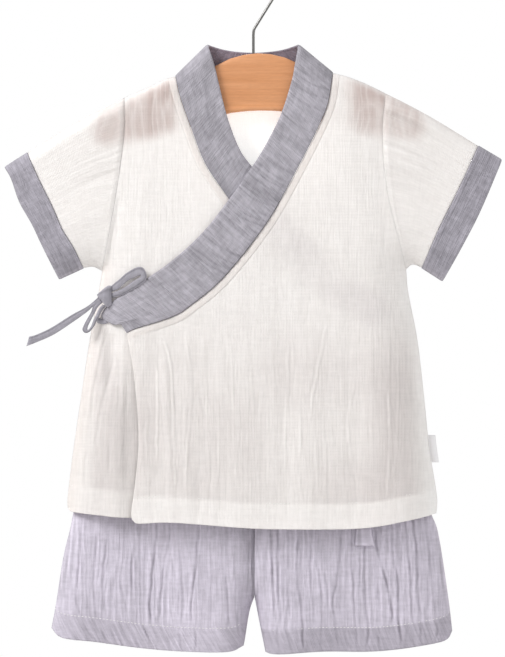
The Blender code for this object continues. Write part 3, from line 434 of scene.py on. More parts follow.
WHITE_TROUGHS = [
    (1.3, [(-128, -309), (-130, -323), (-137, -356), (-143, -398), (-148, -449)]),
    (1.1, [(-121, -312), (-123, -341), (-134, -390), (-137, -427)]),
    (1.0, [(-120, -354), (-124, -390), (-126, -439)]),
    (1.0, [(-112, -321), (-110, -341), (-111, -381), (-113, -427)]),
    (0.7, [(-118, -329), (-117, -360), (-118, -390)]),
]
# Shorts: the upper ones stop at the hem's stitching, the lower ones start there
LEG_CREASES = {
    "left": [
        (1.0, [(-149, -469), (-150, -492), (-152, -520), (-154, -547), (-149, -565)]),
        (0.6, [(-156, -480), (-157, -503), (-160, -530), (-162, -559)]),
        (0.7, [(-160, -480), (-161, -503), (-165, -530), (-169, -559)]),
        (0.8, [(-136, -486), (-138, -520), (-139, -540), (-137, -564)]),
        (0.8, [(-127, -493), (-130, -520), (-131, -541), (-128, -565)]),
        (0.5, [(-112, -481), (-113, -513), (-115, -535), (-108, -565)]),
        (0.8, [(-104, -502), (-106, -530), (-105, -554), (-104, -566)]),
        (1.4, [(-85, -469), (-85, -498), (-88, -527), (-90, -547), (-89, -569)]),
        (0.9, [(-73, -472), (-74, -498), (-77, -514), (-80, -540), (-81, -564)]),
        (0.7, [(-64, -502), (-63, -530), (-61, -547), (-62, -569)]),
        (1.0, [(-47, -469), (-49, -504), (-51, -527), (-54, -554), (-53, -569)]),
        (0.5, [(-34, -476), (-35, -520), (-37, -564)]),
        (0.6, [(-23, -474), (-23, -522), (-21, -571)]),
        (0.8, [(-15, -530), (-15, -554), (-12, -579)]),
        (0.8, [(-165, -565), (-157, -579), (-149, -584)]),
        (0.9, [(-149, -565), (-144, -575), (-136, -585)]),
        (0.9, [(-139, -566), (-133, -575), (-127, -585)]),
        (1.0, [(-127, -566), (-123, -576), (-119, -587)]),
        (0.9, [(-117, -567), (-112, -579), (-106, -588)]),
        (0.8, [(-108, -568), (-103, -579), (-98, -590)]),
        (1.0, [(-97, -569), (-92, -580), (-88, -590)]),
        (0.8, [(-88, -570), (-84, -581), (-82, -591)]),
        (0.7, [(-78, -571), (-74, -582), (-72, -591)]),
        (0.8, [(-66, -571), (-64, -582), (-62, -593)]),
        (0.6, [(-51, -571), (-50, -584), (-50, -593)]),
    ],
    "right": [
        (0.9, [(15, -476), (16, -504), (17, -535), (19, -557), (20, -569)]),
        (0.9, [(20, -472), (21, -498), (21, -535), (24, -562), (21, -579), (24, -593)]),
        (0.6, [(29, -474), (30, -504), (30, -537), (32, -566)]),
        (0.9, [(39, -472), (38, -510), (39, -535), (42, -559), (43, -591)]),
        (0.6, [(49, -498), (50, -530), (52, -554), (53, -569)]),
        (0.7, [(55, -513), (59, -540), (59, -566), (59, -591)]),
        (0.8, [(62, -522), (65, -549), (68, -566)]),
        (0.8, [(77, -472), (75, -508), (73, -530), (69, -547), (71, -566), (74, -590)]),
        (0.9, [(85, -472), (86, -513), (87, -540), (89, -568), (90, -588)]),
        (0.9, [(97, -492), (96, -515), (97, -547), (100, -569), (99, -588)]),
        (1.2, [(103, -474), (107, -501), (112, -520), (117, -537), (121, -559), (120, -569)]),
        (0.7, [(109, -530), (110, -554), (109, -588)]),
        (0.9, [(118, -476), (121, -505), (126, -537), (126, -566), (129, -588)]),
        (1.0, [(131, -472), (134, -502), (137, -537), (138, -566)]),
        (1.0, [(137, -472), (142, -510), (143, -541), (146, -563)]),
        (0.9, [(149, -469), (153, -510), (157, -547), (159, -565)]),
        (0.9, [(159, -476), (162, -510), (166, -541), (169, -559)]),
        (0.6, [(79, -569), (81, -584), (82, -591)]),
        (0.6, [(135, -569), (133, -581), (134, -587)]),
        (0.7, [(146, -568), (146, -579), (147, -586)]),
        (0.8, [(157, -565), (160, -574), (158, -584)]),
        (0.7, [(164, -565), (167, -575), (165, -581)]),
    ],
}


def placed(xz, table, half_width, wander=0.6):
    """Height and shade, both about 1 at a strong crease, of the creases in a table."""
    height, shade = np.zeros(len(xz)), np.zeros(len(xz))
    for k, (strength, points) in enumerate(table):
        path = Line(points, 6).poly
        x = np.interp(-xz[:, 1], -path[:, 1], path[:, 0]) + wander * field(xz[:, 1] / 9, 0 * xz[:, 0] + k, 15)
        slope = np.interp(-xz[:, 1], -path[:, 1], np.gradient(path[:, 0], path[:, 1]))
        off = (xz[:, 0] - x) / np.sqrt(1 + slope ** 2) / half_width
        fade = strength * smooth((path[0, 1] + 3 - xz[:, 1]) / 12) * smooth((xz[:, 1] - path[-1, 1] + 3) / 10)
        fade = fade * (0.8 + 0.5 * field(xz[:, 1] / 14, 0 * xz[:, 0] + k, 16))
        height += fade * (0.5 * bell(off - 2.0, 1.2) + 0.5 * bell(off + 2.0, 1.2)
                          - np.exp(-off * off))
        shade = np.maximum(shade, fade * np.exp(-off * off))
    return height, np.minimum(shade, 1.0)


def mirrored(table):
    return [(strength, [(-x, z) for x, z in points]) for strength, points in table]


# %% [markdown]
# ## Colours
# Real colours are chosen in sRGB, as a dyer's chart gives them, and one function turns them to
# the linear values that light needs. What shows through the white gauze is painted into it: the
# wood, the grey band and the shorts tint it and darken it with painted shade where they touch it
# from behind. A turned hem has a second layer that hides them and shows paler, and a seam allowance
# shows a little greyer. Each point of a shell keeps its own colour in an attribute, worked out from
# what lies behind it, with painted shade in its creases and painted highlights on their crests.

# %% Colours
def linear(code):
    """An sRGB hex colour as linear values."""
    c = np.array([int(code[k:k + 2], 16) / 255 for k in (1, 3, 5)])
    return np.where(c <= 0.04045, c / 12.92, ((c + 0.055) / 1.055) ** 2.4)


WHITE = linear("#FBF6F3")
BAND_GREY = linear("#B8B4BD")
CUFF_GREY = linear("#AEAAB4")
TIE_GREY = linear("#A19EA7")
LILAC = linear("#D9D2E0")
# Painted show-through: the tint of what lies behind the thin white cloth and the shade it makes in the light
# that comes through
WOOD_BEHIND = np.array([0.64, 0.56, 0.545])
BAND_BEHIND = np.array([0.90, 0.895, 0.905])
SHORTS_BEHIND = np.array([0.86, 0.845, 0.85])
ALLOWANCE_TINT = np.array([0.91, 0.895, 0.89])
# Painted shade, a little warm, where the cloth turns over a folded edge
TURNED_AWAY_SHADE = np.array([0.93, 0.905, 0.89])
SINGLE_LAYER = 0.965

# %% What lies behind the white gauze
HANGER_APEX_Z = -72.0
HANGER_CENTRE_X = 3.5
HANGER_TILT = math.radians(1.2)
HANGER_THICK = 12.0
# Columns: distance from the hanger's middle, top z and bottom z below its apex
HANGER_PROFILE = [
    (0.0, 0.0, -50.0), (12.0, -1.1, -50.4), (24.0, -4.2, -51.6), (37.0, -10.3, -54.6), (54.0, -18.6, -60.6),
    (72.0, -26.0, -67.5), (90.0, -33.6, -72.4), (105.0, -40.8, -75.2), (120.0, -47.8, -77.4),
    (134.0, -54.6, -78.8), (142.0, -60.0, -78.4), (146.5, -64.8, -75.6), (148.5, -69.0, -72.2)]
armholes = [Line(ARMHOLE_LEFT), Line(ARMHOLE_RIGHT)]
sides = [Line(SIDE_LEFT), Line(SIDE_RIGHT)]
band_seams = {"over": Line(BAND_SEAM_OVER), "under": Line(BAND_SEAM_UNDER), "back": Line(NECK_SEAM_BACK)}
band_edges = {"over": Line(BAND_EDGE_OVER), "under": Line(BAND_EDGE_UNDER), "back": Line(NECK_EDGE_BACK)}
hems = {"over": Line(HEM_OVER), "under": Line(HEM_UNDER), "back": Line(HEM_BACK)}
free_edges = {"over": Line(FREE_EDGE_OVER), "under": Line(FREE_EDGE_UNDER)}
TURNED_HEM = 22.6
SEAM_ALLOWANCE = 6.3


def blend_to(colour, amount):
    """Factor that blends a colour in by an amount from 0 to 1."""
    return 1 - amount[:, None] * (1 - colour)


def wood_touch(xz):
    """How strongly the hanger's arms show through as painted shade: most near their ends, where the cloth
    rests on them.
    """
    dx, dz = xz[:, 0] - HANGER_CENTRE_X, xz[:, 1] - HANGER_APEX_Z
    along = np.abs(dx * math.cos(HANGER_TILT) + dz * math.sin(HANGER_TILT))
    up = dz * math.cos(HANGER_TILT) - dx * math.sin(HANGER_TILT)
    table = np.array(HANGER_PROFILE)
    high, low = np.interp(along, table[:, 0], table[:, 1]), np.interp(along, table[:, 0], table[:, 2])
    inside = smooth((high + 12 - up) / 12) * smooth((up - low + 6) / 16) * smooth((153 - along) / 18)
    streaks = 0.55 + 0.45 * creases(xz[:, 0], xz[:, 1], 4.2, 45.0, 3)
    blotches = 0.92 + 0.22 * field(xz[:, 0] / 16, xz[:, 1] / 13, 9)
    near = np.where(dx < 0, smooth((along - 62) / 22), 0.95 * smooth((along - 70) / 22))
    return np.clip(inside * (0.12 + 0.95 * near) * streaks * blotches, 0, 1)


def under_band_touch(xz):
    """The under band, painted through the over front as a soft grey shade."""
    t = np.linspace(0, 1, 60)
    middle = Line((band_seams["under"].at(t) + band_edges["under"].at(t)) / 2, 1)
    gap = distance(xz, middle)
    blotches = 0.75 + 0.9 * field(xz[:, 0] / 26, xz[:, 1] / 24, 14)
    return np.clip(smooth((27 - gap) / 24) * below(xz, -165, 30) * blotches, 0, 1)


def shorts_touch(xz):
    """Painted show-through of the shorts under the hem, most where the right side of the top lies on them."""
    inside = smooth((152 - np.abs(xz[:, 0])) / 20) * below(xz, -290, 70)
    patches = 0.55 + 0.4 * field(xz[:, 0] / 46, xz[:, 1] / 60, 11)
    patches = patches + 0.7 * bell(xz[:, 0] - 122, 22) + 0.35 * bell(xz[:, 0] + 130, 18)
    return inside * np.clip(patches, 0, 1.2)


def behind_white(xz, hem, allowances, over=False):
    """Colour of the white gauze with the painted show-through of what it touches; layers of its own cloth
    hide most of it.
    """
    factor = blend_to(WOOD_BEHIND, wood_touch(xz)) * blend_to(SHORTS_BEHIND, shorts_touch(xz))
    if over:
        # Two whole fronts lie on each other here, and the outer one hides the light that comes through
        factor *= blend_to(BAND_BEHIND, under_band_touch(xz)) * (1 - 0.03 * below(xz, -160, 60))[:, None]
    hem_z = np.interp(xz[:, 0], hem.poly[:, 0], hem.poly[:, 1])
    turned = smooth((hem_z + TURNED_HEM + 0.6 - xz[:, 1]) / 1.2)[:, None]
    allowance = smooth((SEAM_ALLOWANCE - allowances) / 1.0)[:, None]
    cover = np.maximum(turned, 0.85 * allowance)
    own = (SINGLE_LAYER + (1 - SINGLE_LAYER) * turned) * (1 - allowance * (1 - ALLOWANCE_TINT))
    return WHITE * (factor + (1 - factor) * 0.8 * cover) * own


# %% [markdown]
# ## From a grid to a shell
# Each panel starts as Blender's own grid. Its corners are read as two fractions, down and across,
# and moved to their place on the cloth. Solidify then gives the sheet its wall towards the inside.

# %% Shells
made_pieces = {}
JOIN_DISTANCE = 1e-6
FACING_STEP = 37


def keep(name, mesh, material):
    """Object for a finished mesh, smooth, on the body and with its finish."""
    mesh.polygons.foreach_set("use_smooth", np.ones(len(mesh.polygons), bool))
    mesh.materials.append(material)
    obj = bpy.data.objects.new(name, mesh)
    bpy.context.scene.collection.objects.link(obj)
    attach(obj, "root")
    made_pieces[name] = obj
    return obj


def spread(stops, u):
    """Fraction for u from pairs of (share of the columns, fraction), to crowd them where it bends."""
    return np.interp(u, [a for a, _ in stops], [b for _, b in stops])


def cosine(u, ease):
    """Even steps, drawn together at both ends by a share of a cosine."""
    return (1 - ease) * u + ease * (1 - np.cos(np.pi * u)) / 2


def grid_piece(name, rows, cols, shape, material, wall=0.0, ring=False):
    """shape(s, t) gives points, outward directions, colours and the laid-out place, in mm.

    A ring is a tube: its last column joins the first, and ends that close to a point are joined.
    """
    bm = bmesh.new()
    bmesh.ops.create_grid(bm, x_segments=cols, y_segments=rows, size=1.0)
    mesh = bpy.data.meshes.new(name)
    bm.to_mesh(mesh)
    bm.free()
    corner = np.empty(len(mesh.vertices) * 3, np.float32)
    mesh.vertices.foreach_get("co", corner)
    corner = corner.reshape(-1, 3).astype(float)
    points, outward, colour, flat = shape((1 - corner[:, 1]) / 2, (corner[:, 0] + 1) / 2)
    mesh.vertices.foreach_set("co", (points * MM).astype(np.float32).ravel())
    # The colour attribute holds each point's colour with the shade and highlights painted into it
    colour_and_painted_light = mesh.color_attributes.new("colour_and_painted_light", "FLOAT_COLOR", "POINT")
    rgba = np.column_stack([np.broadcast_to(colour, points.shape), np.ones(len(points))])
    colour_and_painted_light.data.foreach_set("color", rgba.astype(np.float32).ravel())
    corners = np.empty(len(mesh.loops), np.int32)
    mesh.loops.foreach_get("vertex_index", corners)
    laid = mesh.uv_layers.new(name="laid_flat")
    laid.data.foreach_set("uv", (flat[corners] * MM).astype(np.float32).ravel())
    mesh.update()
    facing = np.array([mesh.polygons[k].normal.dot(Vector(outward[mesh.polygons[k].vertices[0]]))
                       for k in range(0, len(mesh.polygons), FACING_STEP)])
    bm = bmesh.new()
    bm.from_mesh(mesh)
    if ring:
        bmesh.ops.remove_doubles(bm, verts=bm.verts, dist=JOIN_DISTANCE)
    if facing.mean() < 0:
        bmesh.ops.reverse_faces(bm, faces=bm.faces)
    bm.to_mesh(mesh)
    bm.free()
    obj = keep(name, mesh, material)
    if wall:
        layer = obj.modifiers.new("cloth_wall", "SOLIDIFY")
        layer.thickness = wall * MM
        layer.offset = -1.0
    print(name, len(mesh.polygons), "faces")
    return obj


# %% [markdown]
# ## Cloth materials
# Muslin is a plain weave of soft cotton yarns, about 0.5 mm apart. That is finer than one pixel,
# so the weave is drawn at 1.32 mm, coarse enough to show. A yarn's thickness varies along its
# length, which gives woven cotton its faint dashes. The nap scatters light at grazing angles,
# which the shader calls sheen. Nothing on it is glossy.

# %% A node helper
def add(tree, kind, inputs=(), **settings):
    """One node with its settings; an input is a number, a colour or another node's output."""
    node = tree.nodes.new("ShaderNode" + kind)
    for key, value in settings.items():
        setattr(node, key, value)
    for key, value in dict(inputs).items():
        if isinstance(value, bpy.types.NodeSocket):
            tree.links.new(value, node.inputs[key])
        else:
            node.inputs[key].default_value = value
    return node


def new_material(name):
    material = bpy.data.materials.new(name)
    material.use_nodes = True
    tree = material.node_tree
    tree.nodes.clear()
    output = add(tree, "OutputMaterial")
    shader = add(tree, "BsdfPrincipled")
    tree.links.new(shader.outputs["BSDF"], output.inputs["Surface"])
    return material, tree, shader


# %% Woven cotton
WAVE_RADIANS = 20.0


def drawn_out_noise(tree, place, scale, detail, **more):
    """Noise stretched along one axis, as yarns, creases and grain are."""
    place = add(tree, "Mapping", {"Vector": place, "Scale": scale}).outputs["Vector"]
    return add(tree, "TexNoise", {"Vector": place, "Scale": 1.0, "Detail": detail, **more})


def multiplied(tree, colour, factor):
    """A colour multiplied by another colour, or by a number taken as a grey."""
    mixed = add(tree, "Mix", {0: 1.0, 6: colour, 7: factor}, data_type="RGBA", blend_type="MULTIPLY")
    return mixed.outputs[2]


def crepe_lines(tree, flat, crepe, crepe_mm):
    """The finest creases, thinner than the mesh can carry: long ones, and fainter ones across them, each with
    its painted shade.
    """
    unit = crepe_mm * MM
    noise = drawn_out_noise(tree, flat, (1 / unit, 1 / (12 * unit), 1.0), 1.5, Roughness=0.6)
    centred = add(tree, "Math", {0: noise.outputs["Fac"], 1: 0.5}, operation="SUBTRACT")
    near = add(tree, "Math", {0: centred.outputs[0]}, operation="ABSOLUTE")
    # A crease lies where the stretched noise crosses its middle
    line = add(tree, "MapRange", {"Value": near.outputs[0], "From Max": 0.12},
               interpolation_type="SMOOTHSTEP").outputs["Result"]
    crepe_shade = add(tree, "MapRange", {"Value": line, "To Min": 1 - crepe, "To Max": 1.0})
    # The ones with the weft are shorter and only painted shade, and make the small soft checks of washed
    # muslin
    noise = drawn_out_noise(tree, flat, (1 / (7 * unit), 1 / (1.3 * unit), 1.0), 1.5, Roughness=0.6)
    cross_crepe_shade = add(tree, "MapRange", {"Value": noise.outputs["Fac"], "From Min": 0.35, "From Max": 0.6,
                                  "To Min": 1 - 0.55 * crepe, "To Max": 1.0})
    return line, crepe_shade.outputs["Result"], cross_crepe_shade.outputs["Result"]


def gauze(name, yarn_mm, depth_mm, dash, sheen, crepe=0.0, crepe_mm=4.0, through=0.0, lit=False):
    """Open plain weave with uneven yarns; the colour, with its painted shade and highlights, comes from the
    piece's own attribute.
    """
    material, tree, shader = new_material(name)
    colour_and_painted_light = add(tree, "Attribute", attribute_name="colour_and_painted_light", attribute_type="GEOMETRY").outputs["Color"]
    flat = add(tree, "UVMap", uv_map="laid_flat").outputs["UV"]
    # Blender's bands go through twenty radians in one unit of their scale
    yarns = {"Vector": flat, "Scale": math.tau / WAVE_RADIANS / (yarn_mm * MM), "Distortion": 1.4,
             "Detail": 1.0, "Detail Scale": 2.0}
    weft, warp = [add(tree, "TexWave", yarns, wave_type="BANDS", bands_direction=way).outputs["Fac"]
                  for way in ("Y", "X")]
    weave = add(tree, "Math", {0: weft, 1: warp}, operation="ADD")
    uneven = [drawn_out_noise(tree, flat, scale, 3.0).outputs["Fac"]
              for scale in ((430.0, 95.0, 1.0), (100.0, 400.0, 1.0))]
    both = add(tree, "Math", dict(enumerate(uneven)), operation="ADD")
    tone = add(tree, "MapRange", {"Value": both.outputs[0], "From Min": 0.7, "From Max": 1.3,
                                  "To Min": 1 - dash, "To Max": 1 + dash * 0.4})
    shade = tone.outputs["Result"]
    height = add(tree, "Math", {0: weave.outputs[0], 1: both.outputs[0]}, operation="ADD")
    normal = add(tree, "Bump", {"Height": height.outputs[0], "Strength": 0.6, "Distance": depth_mm * MM})
    if crepe:
        line, crepe_shade, cross_crepe_shade = crepe_lines(tree, flat, crepe, crepe_mm)
        for factor in (crepe_shade, cross_crepe_shade):
            shade = add(tree, "Math", {0: shade, 1: factor}, operation="MULTIPLY").outputs[0]
        normal = add(tree, "Bump", {"Height": line, "Strength": 0.7, "Distance": 3.0 * crepe * MM,
                                    "Normal": normal.outputs["Normal"]})
    tree.links.new(multiplied(tree, colour_and_painted_light, shade), shader.inputs["Base Color"])
    tree.links.new(normal.outputs["Normal"], shader.inputs["Normal"])
    if lit:
        # The lit wall behind shines through the one layer inside the neck. A lamp strong enough for
        # that would bleach the whole back, so the piece's own attribute says where the inside glows.
        glow = add(tree, "Attribute", attribute_name="lit_through", attribute_type="GEOMETRY")
        tree.links.new(glow.outputs["Fac"], shader.inputs["Emission Strength"])
        shader.inputs["Emission Color"].default_value = (*linear("#FBFFFF"), 1.0)
    # Thin muslin lets a part of the light through
    shader.inputs["Subsurface Weight"].default_value = through
    shader.inputs["Subsurface Radius"].default_value = (1.0, 1.0, 1.0)
    shader.inputs["Subsurface Scale"].default_value = 1.2 * MM
    shader.inputs["Roughness"].default_value = 0.92
    shader.inputs["Specular IOR Level"].default_value = 0.2
    shader.inputs["Sheen Weight"].default_value = sheen
    shader.inputs["Sheen Roughness"].default_value = 0.6
    return material


# Bleached white muslin: even, thin and faintly creased. The second one is the same cloth, lit from behind
WHITE_CLOTH = {"yarn_mm": 1.32, "depth_mm": 0.10, "dash": 0.04, "sheen": 0.10, "crepe": 0.034,
               "crepe_mm": 3.6, "through": 0.6}
white_gauze = gauze("white_cotton_double_gauze", **WHITE_CLOTH)
lit_gauze = gauze("white_cotton_double_gauze_lit_from_behind", **WHITE_CLOTH, lit=True)
# Slate grey muslin of band and cuffs: its yarns took the dye unevenly, so it has the strongest dashes
grey_gauze = gauze("grey_cotton_double_gauze", 1.32, 0.20, 0.20, 0.15, crepe=0.11, crepe_mm=3.0)
# Lilac muslin of the shorts, a little softer in its dashes
lilac_gauze = gauze("lilac_cotton_double_gauze", 1.32, 0.20, 0.13, 0.12, crepe=0.08, crepe_mm=3.8)
# One closer layer of the grey cotton, pressed flat in the ties
tie_cotton = gauze("grey_cotton_tie_cloth", 0.566, 0.10, 0.16, 0.15)
# Satin tape of the label: close, smooth and with the most sheen
label_satin = gauze("woven_satin_label", 0.377, 0.03, 0.02, 0.3)
# Spun sewing thread, close and smooth
thread_white = gauze("white_sewing_thread", 0.314, 0.05, 0.02, 0.1)
print("cloth materials ready")


# %% [markdown]
# ## The back of the top
# One panel from shoulder to hem. It meets the fronts along the shoulders and sides, the sleeves
# along the armholes and the band along the neck, and its hem is turned up once and stitched.

# %% Panel shapes
RIGHT_EDGE = Chain([ARMHOLE_RIGHT, SIDE_RIGHT], [ARMHOLE_TURN])
LEFT_EDGE = Chain([ARMHOLE_LEFT, SIDE_LEFT], [ARMHOLE_TURN])
OVER_EDGE = Chain([BAND_SEAM_OVER, FREE_EDGE_OVER], [OVER_CORNER])
UNDER_EDGE = Chain([BAND_SEAM_UNDER, FREE_EDGE_UNDER], [UNDER_CORNER])
NECK_EDGE = Chain([SHOULDER_LEFT, NECK_SEAM_BACK, SHOULDER_RIGHT[::-1]], [NECK_START, 1 - NECK_START])


def wrap_lift(xz):
    """Extra step of the over front, none at the shoulder, armhole and right side seam."""
    edge = np.concatenate([line.poly for line in RIGHT_EDGE.lines])
    side_x = np.interp(-xz[:, 1], -edge[:, 1], edge[:, 0])
    return WRAP_STEP * below(xz, -105.0, 45.0) * smooth((side_x - 2.0 - xz[:, 0]) / 30.0)


def hem_detail(xz, hem):
    """Puckers of the turned hem and the dip along its stitching."""
    hem_z = np.interp(xz[:, 0], hem.poly[:, 0], hem.poly[:, 1])
    above = xz[:, 1] - hem_z
    on_hem = smooth((TURNED_HEM - above) / 1.5)
    pucker = creases(xz[:, 0] + 0.25 * above, xz[:, 1], 6.5, 30.0, 21)
    line = -0.30 * bell(above - TURNED_HEM, 1.1)
    return line + on_hem * (0.25 + 0.28 * pucker), on_hem


def white_bumps(xz, hem, seed):
    """Creases of a hanging white panel, calmer on the turned hem."""
    on_line, on_hem = hem_detail(xz, hem)
    fine = (0.30 * creases(xz[:, 0], xz[:, 1], 5.0, 60.0, seed)
            + 0.10 * creases(xz[:, 0], xz[:, 1], 2.6, 30.0, seed + 1))
    cross = 0.12 * creases(xz[:, 1], xz[:, 0], 6.0, 45.0, seed + 2)
    broad = 0.42 * field(xz[:, 0] / 24, xz[:, 1] / 110, seed + 3)
    low = 0.45 + 0.55 * below(xz, -190, 90)
    return (fine + cross) * (1 - 0.6 * on_hem) * low + broad * (1 - 0.5 * on_hem) + on_line


def armhole_seam(xz):
    """Dip and shade along an armhole: crisp at the shoulder, where the sleeve is eased in, then faint."""
    gap = distance(xz, *armholes)
    crisp = (0.12 + 0.88 * smooth((xz[:, 1] + 178) / 45)) * below(xz, -109, 6)
    shade = 0.6 * crisp * bell(gap, 1.1) + 0.22 * bell(gap, 6.0)
    return -0.35 * crisp * bell(gap, 1.4), shade, smooth(gap / 4.0)


HEM_CORNER = 5.0
TIE_FOLD_X = -128.5


def round_corner(xz):
    """Round off the free lower corner of the over front, as turning its hem does."""
    edge, hem = free_edges["over"].poly, hems["over"].poly
    dx = xz[:, 0] - np.interp(-xz[:, 1], -edge[:, 1], edge[:, 0])
    dz = xz[:, 1] - np.interp(xz[:, 0], hem[:, 0], hem[:, 1])
    p, q = np.clip(1 - dx / HEM_CORNER, 0, 1), np.clip(1 - dz / HEM_CORNER, 0, 1)
    move = np.stack([p - p * np.sqrt(1 - q * q / 2), q - q * np.sqrt(1 - p * p / 2)], 1)
    return xz + HEM_CORNER * move


def panel_shape(grid, side, hem, seams, tables, seed, rows, cols, lift=None, over=False):
    """Shape of a back or front: where its cloth lies, how it is creased, and what shows through it."""
    def shape(s, t):
        xz = grid(spread(rows, s), cosine(t, cols))
        if over:
            xz = round_corner(xz)
        to_seam = distance(xz, *seams)
        dip, seam_shade, clear = armhole_seam(xz)
        ridges, ridge_highlight = placed(xz, WHITE_RIDGES if side < 0 else mirrored(WHITE_RIDGES), 0.95)
        grooves, shade = placed(xz, WHITE_TROUGHS if side < 0 else mirrored(WHITE_TROUGHS), 1.2)
        crest_highlight = np.clip(grooves, 0, 1)
        bumps = folds(xz, *tables) + white_bumps(xz, hem, seed) + 0.45 * grooves - 0.40 * ridges
        bumps = bumps * smooth(to_seam / 5.0) * clear
        strip = (0.30 * smooth((SEAM_ALLOWANCE - to_seam) / 0.9)
                 - 0.22 * bell(to_seam - SEAM_ALLOWANCE, 0.8))
        sink = -0.35 * bell(to_seam, 0.9)
        raised = (lift(xz) if lift else 0.0) + sink + dip
        points, normal = top.place(xz, side, raised, bumps + strip)
        low = 0.4 + 0.6 * below(xz, -190, 90)
        fine = (low * (1 - creases(xz[:, 0], xz[:, 1], 5.0, 60.0, seed))
                + 0.5 * low * (1 - creases(xz[:, 1], xz[:, 0], 6.0, 45.0, seed + 2)))
        # Painted shade in the grooves, beside the ridges, along the armhole seam and in the fine crease
        # lines; painted highlights on the ridges and on the crests beside the grooves
        tone = (1 - 0.05 * shade + 0.05 * crest_highlight + 0.03 * ridge_highlight - 0.05 * np.clip(ridges, 0, 1)
                - 0.14 * seam_shade - 0.035 * fine)
        # Painted light along the right side seam, and painted shade along the edge of each seam allowance
        tone += 0.09 * bell(distance(xz, sides[1]), 9) * below(xz, -220, 60)
        tone -= 0.06 * bell(to_seam - SEAM_ALLOWANCE, 0.7)
        if side < 0 and not over:
            # Painted shade in the fold that the tie pulls into the under front and beside the over front's
            # edge;
            # below the tie and on its hem the under front is also made a little darker
            tone -= 0.13 * bell(distance(xz, free_edges["over"]), 2.4)
            fold = bell(xz[:, 0] - TIE_FOLD_X, 4.2) * below(xz, -306, 9) * smooth((xz[:, 1] + 385) / 50)
            hem_z = np.interp(xz[:, 0], hem.poly[:, 0], hem.poly[:, 1])
            tone -= 0.17 * fold + 0.10 * below(xz, -320, 70)
            tone -= 0.02 * smooth((hem_z + TURNED_HEM - xz[:, 1]) / 1.5)
        colour = behind_white(xz, hem, to_seam, over) * tone[:, None]
        # Painted shade, a little warm, where the cloth turns over the left side seam
        colour *= blend_to(TURNED_AWAY_SHADE, bell(distance(xz, sides[0]), 9))
        return points, normal, colour, xz * np.array([-side, 1.0])
    return shape


PANEL_ROWS = [(0.0, 0.0), (0.10, 0.035), (0.94, 0.985), (1.0, 1.0)]
back_shape = panel_shape(patch(LEFT_EDGE, RIGHT_EDGE, NECK_EDGE, hems["back"]), BACK, hems["back"],
                         [band_seams["back"]], (BACK_FOLDS, BACK_CREASES), 31, PANEL_ROWS, 0.7)
back_panel = grid_piece("gauze_back", 110, 170, back_shape, white_gauze, GAUZE_WALL)
# The wall's inner face takes the second material, which is the same cloth with the wall's light in it
back_panel.data.materials.append(lit_gauze)
back_panel.modifiers["cloth_wall"].material_offset = 1
NECK_GLOW = 0.52
GLOW_HALF_WIDTH = 66.0
GLOW_LOW_Z = -205.0
spots = np.array([corner.co[:] for corner in back_panel.data.vertices]) / MM
glow = smooth((GLOW_HALF_WIDTH - np.abs(spots[:, 0])) / 14) * smooth((spots[:, 2] - GLOW_LOW_Z) / 30)
lit = back_panel.data.attributes.new("lit_through", "FLOAT", "POINT")
lit.data.foreach_set("value", (NECK_GLOW * glow).astype(np.float32))

# %% [markdown]
# ## The two fronts
# The under front crosses beneath the over front as in a kimono. The over front runs from its own
# shoulder across to the tie, and below the tie its free edge hangs down to the hem.

# %% Fronts
over_shape = panel_shape(patch(OVER_EDGE, RIGHT_EDGE, Line(SHOULDER_RIGHT[::-1]), hems["over"]), FRONT,
                         hems["over"], [band_seams["over"]], (FRONT_FOLDS, FRONT_CREASES), 41,
                         PANEL_ROWS, 0.45, wrap_lift, True)
grid_piece("gauze_front_over", 148, 300, over_shape, white_gauze, GAUZE_WALL)
under_shape = panel_shape(patch(LEFT_EDGE, UNDER_EDGE, Line(SHOULDER_LEFT), hems["under"]), FRONT,
                          hems["under"], [band_seams["under"]], (FRONT_FOLDS, FRONT_CREASES), 51,
                          PANEL_ROWS, 0.7)
grid_piece("gauze_front_under", 160, 170, under_shape, white_gauze, GAUZE_WALL)

# %% [markdown]
# ## Sleeves and cuffs
# A sleeve is one piece sewn into a tube, so its grid runs down the front and up the back, and
# its last column joins the first. Its creases run along the arm and fan out with it. The cuff is
# a doubled band of the grey gauze, set on with its seam turned towards the hand.

# %% Sleeves
SIDES = {
    "left": (ARMHOLE_LEFT, CUFF_SEAM_LEFT, SLEEVE_TOP_LEFT, SLEEVE_LOW_LEFT, CUFF_END_LEFT),
    "right": (ARMHOLE_RIGHT, CUFF_SEAM_RIGHT, SLEEVE_TOP_RIGHT, SLEEVE_LOW_RIGHT, CUFF_END_RIGHT)}
SLEEVE_WIDTH = 150.0
SLEEVE_LENGTH = 75.0
CUFF_WIDTH = 120.0
CUFF_DEPTH = 21.0


def around(t):
    """Round a flattened tube: the way down its front and up its back, and which side that is."""
    down = np.where(t <= 0.5, 2 * t, 2 - 2 * t)
    return cosine(down, 0.85), np.where(t <= 0.5, FRONT, BACK)


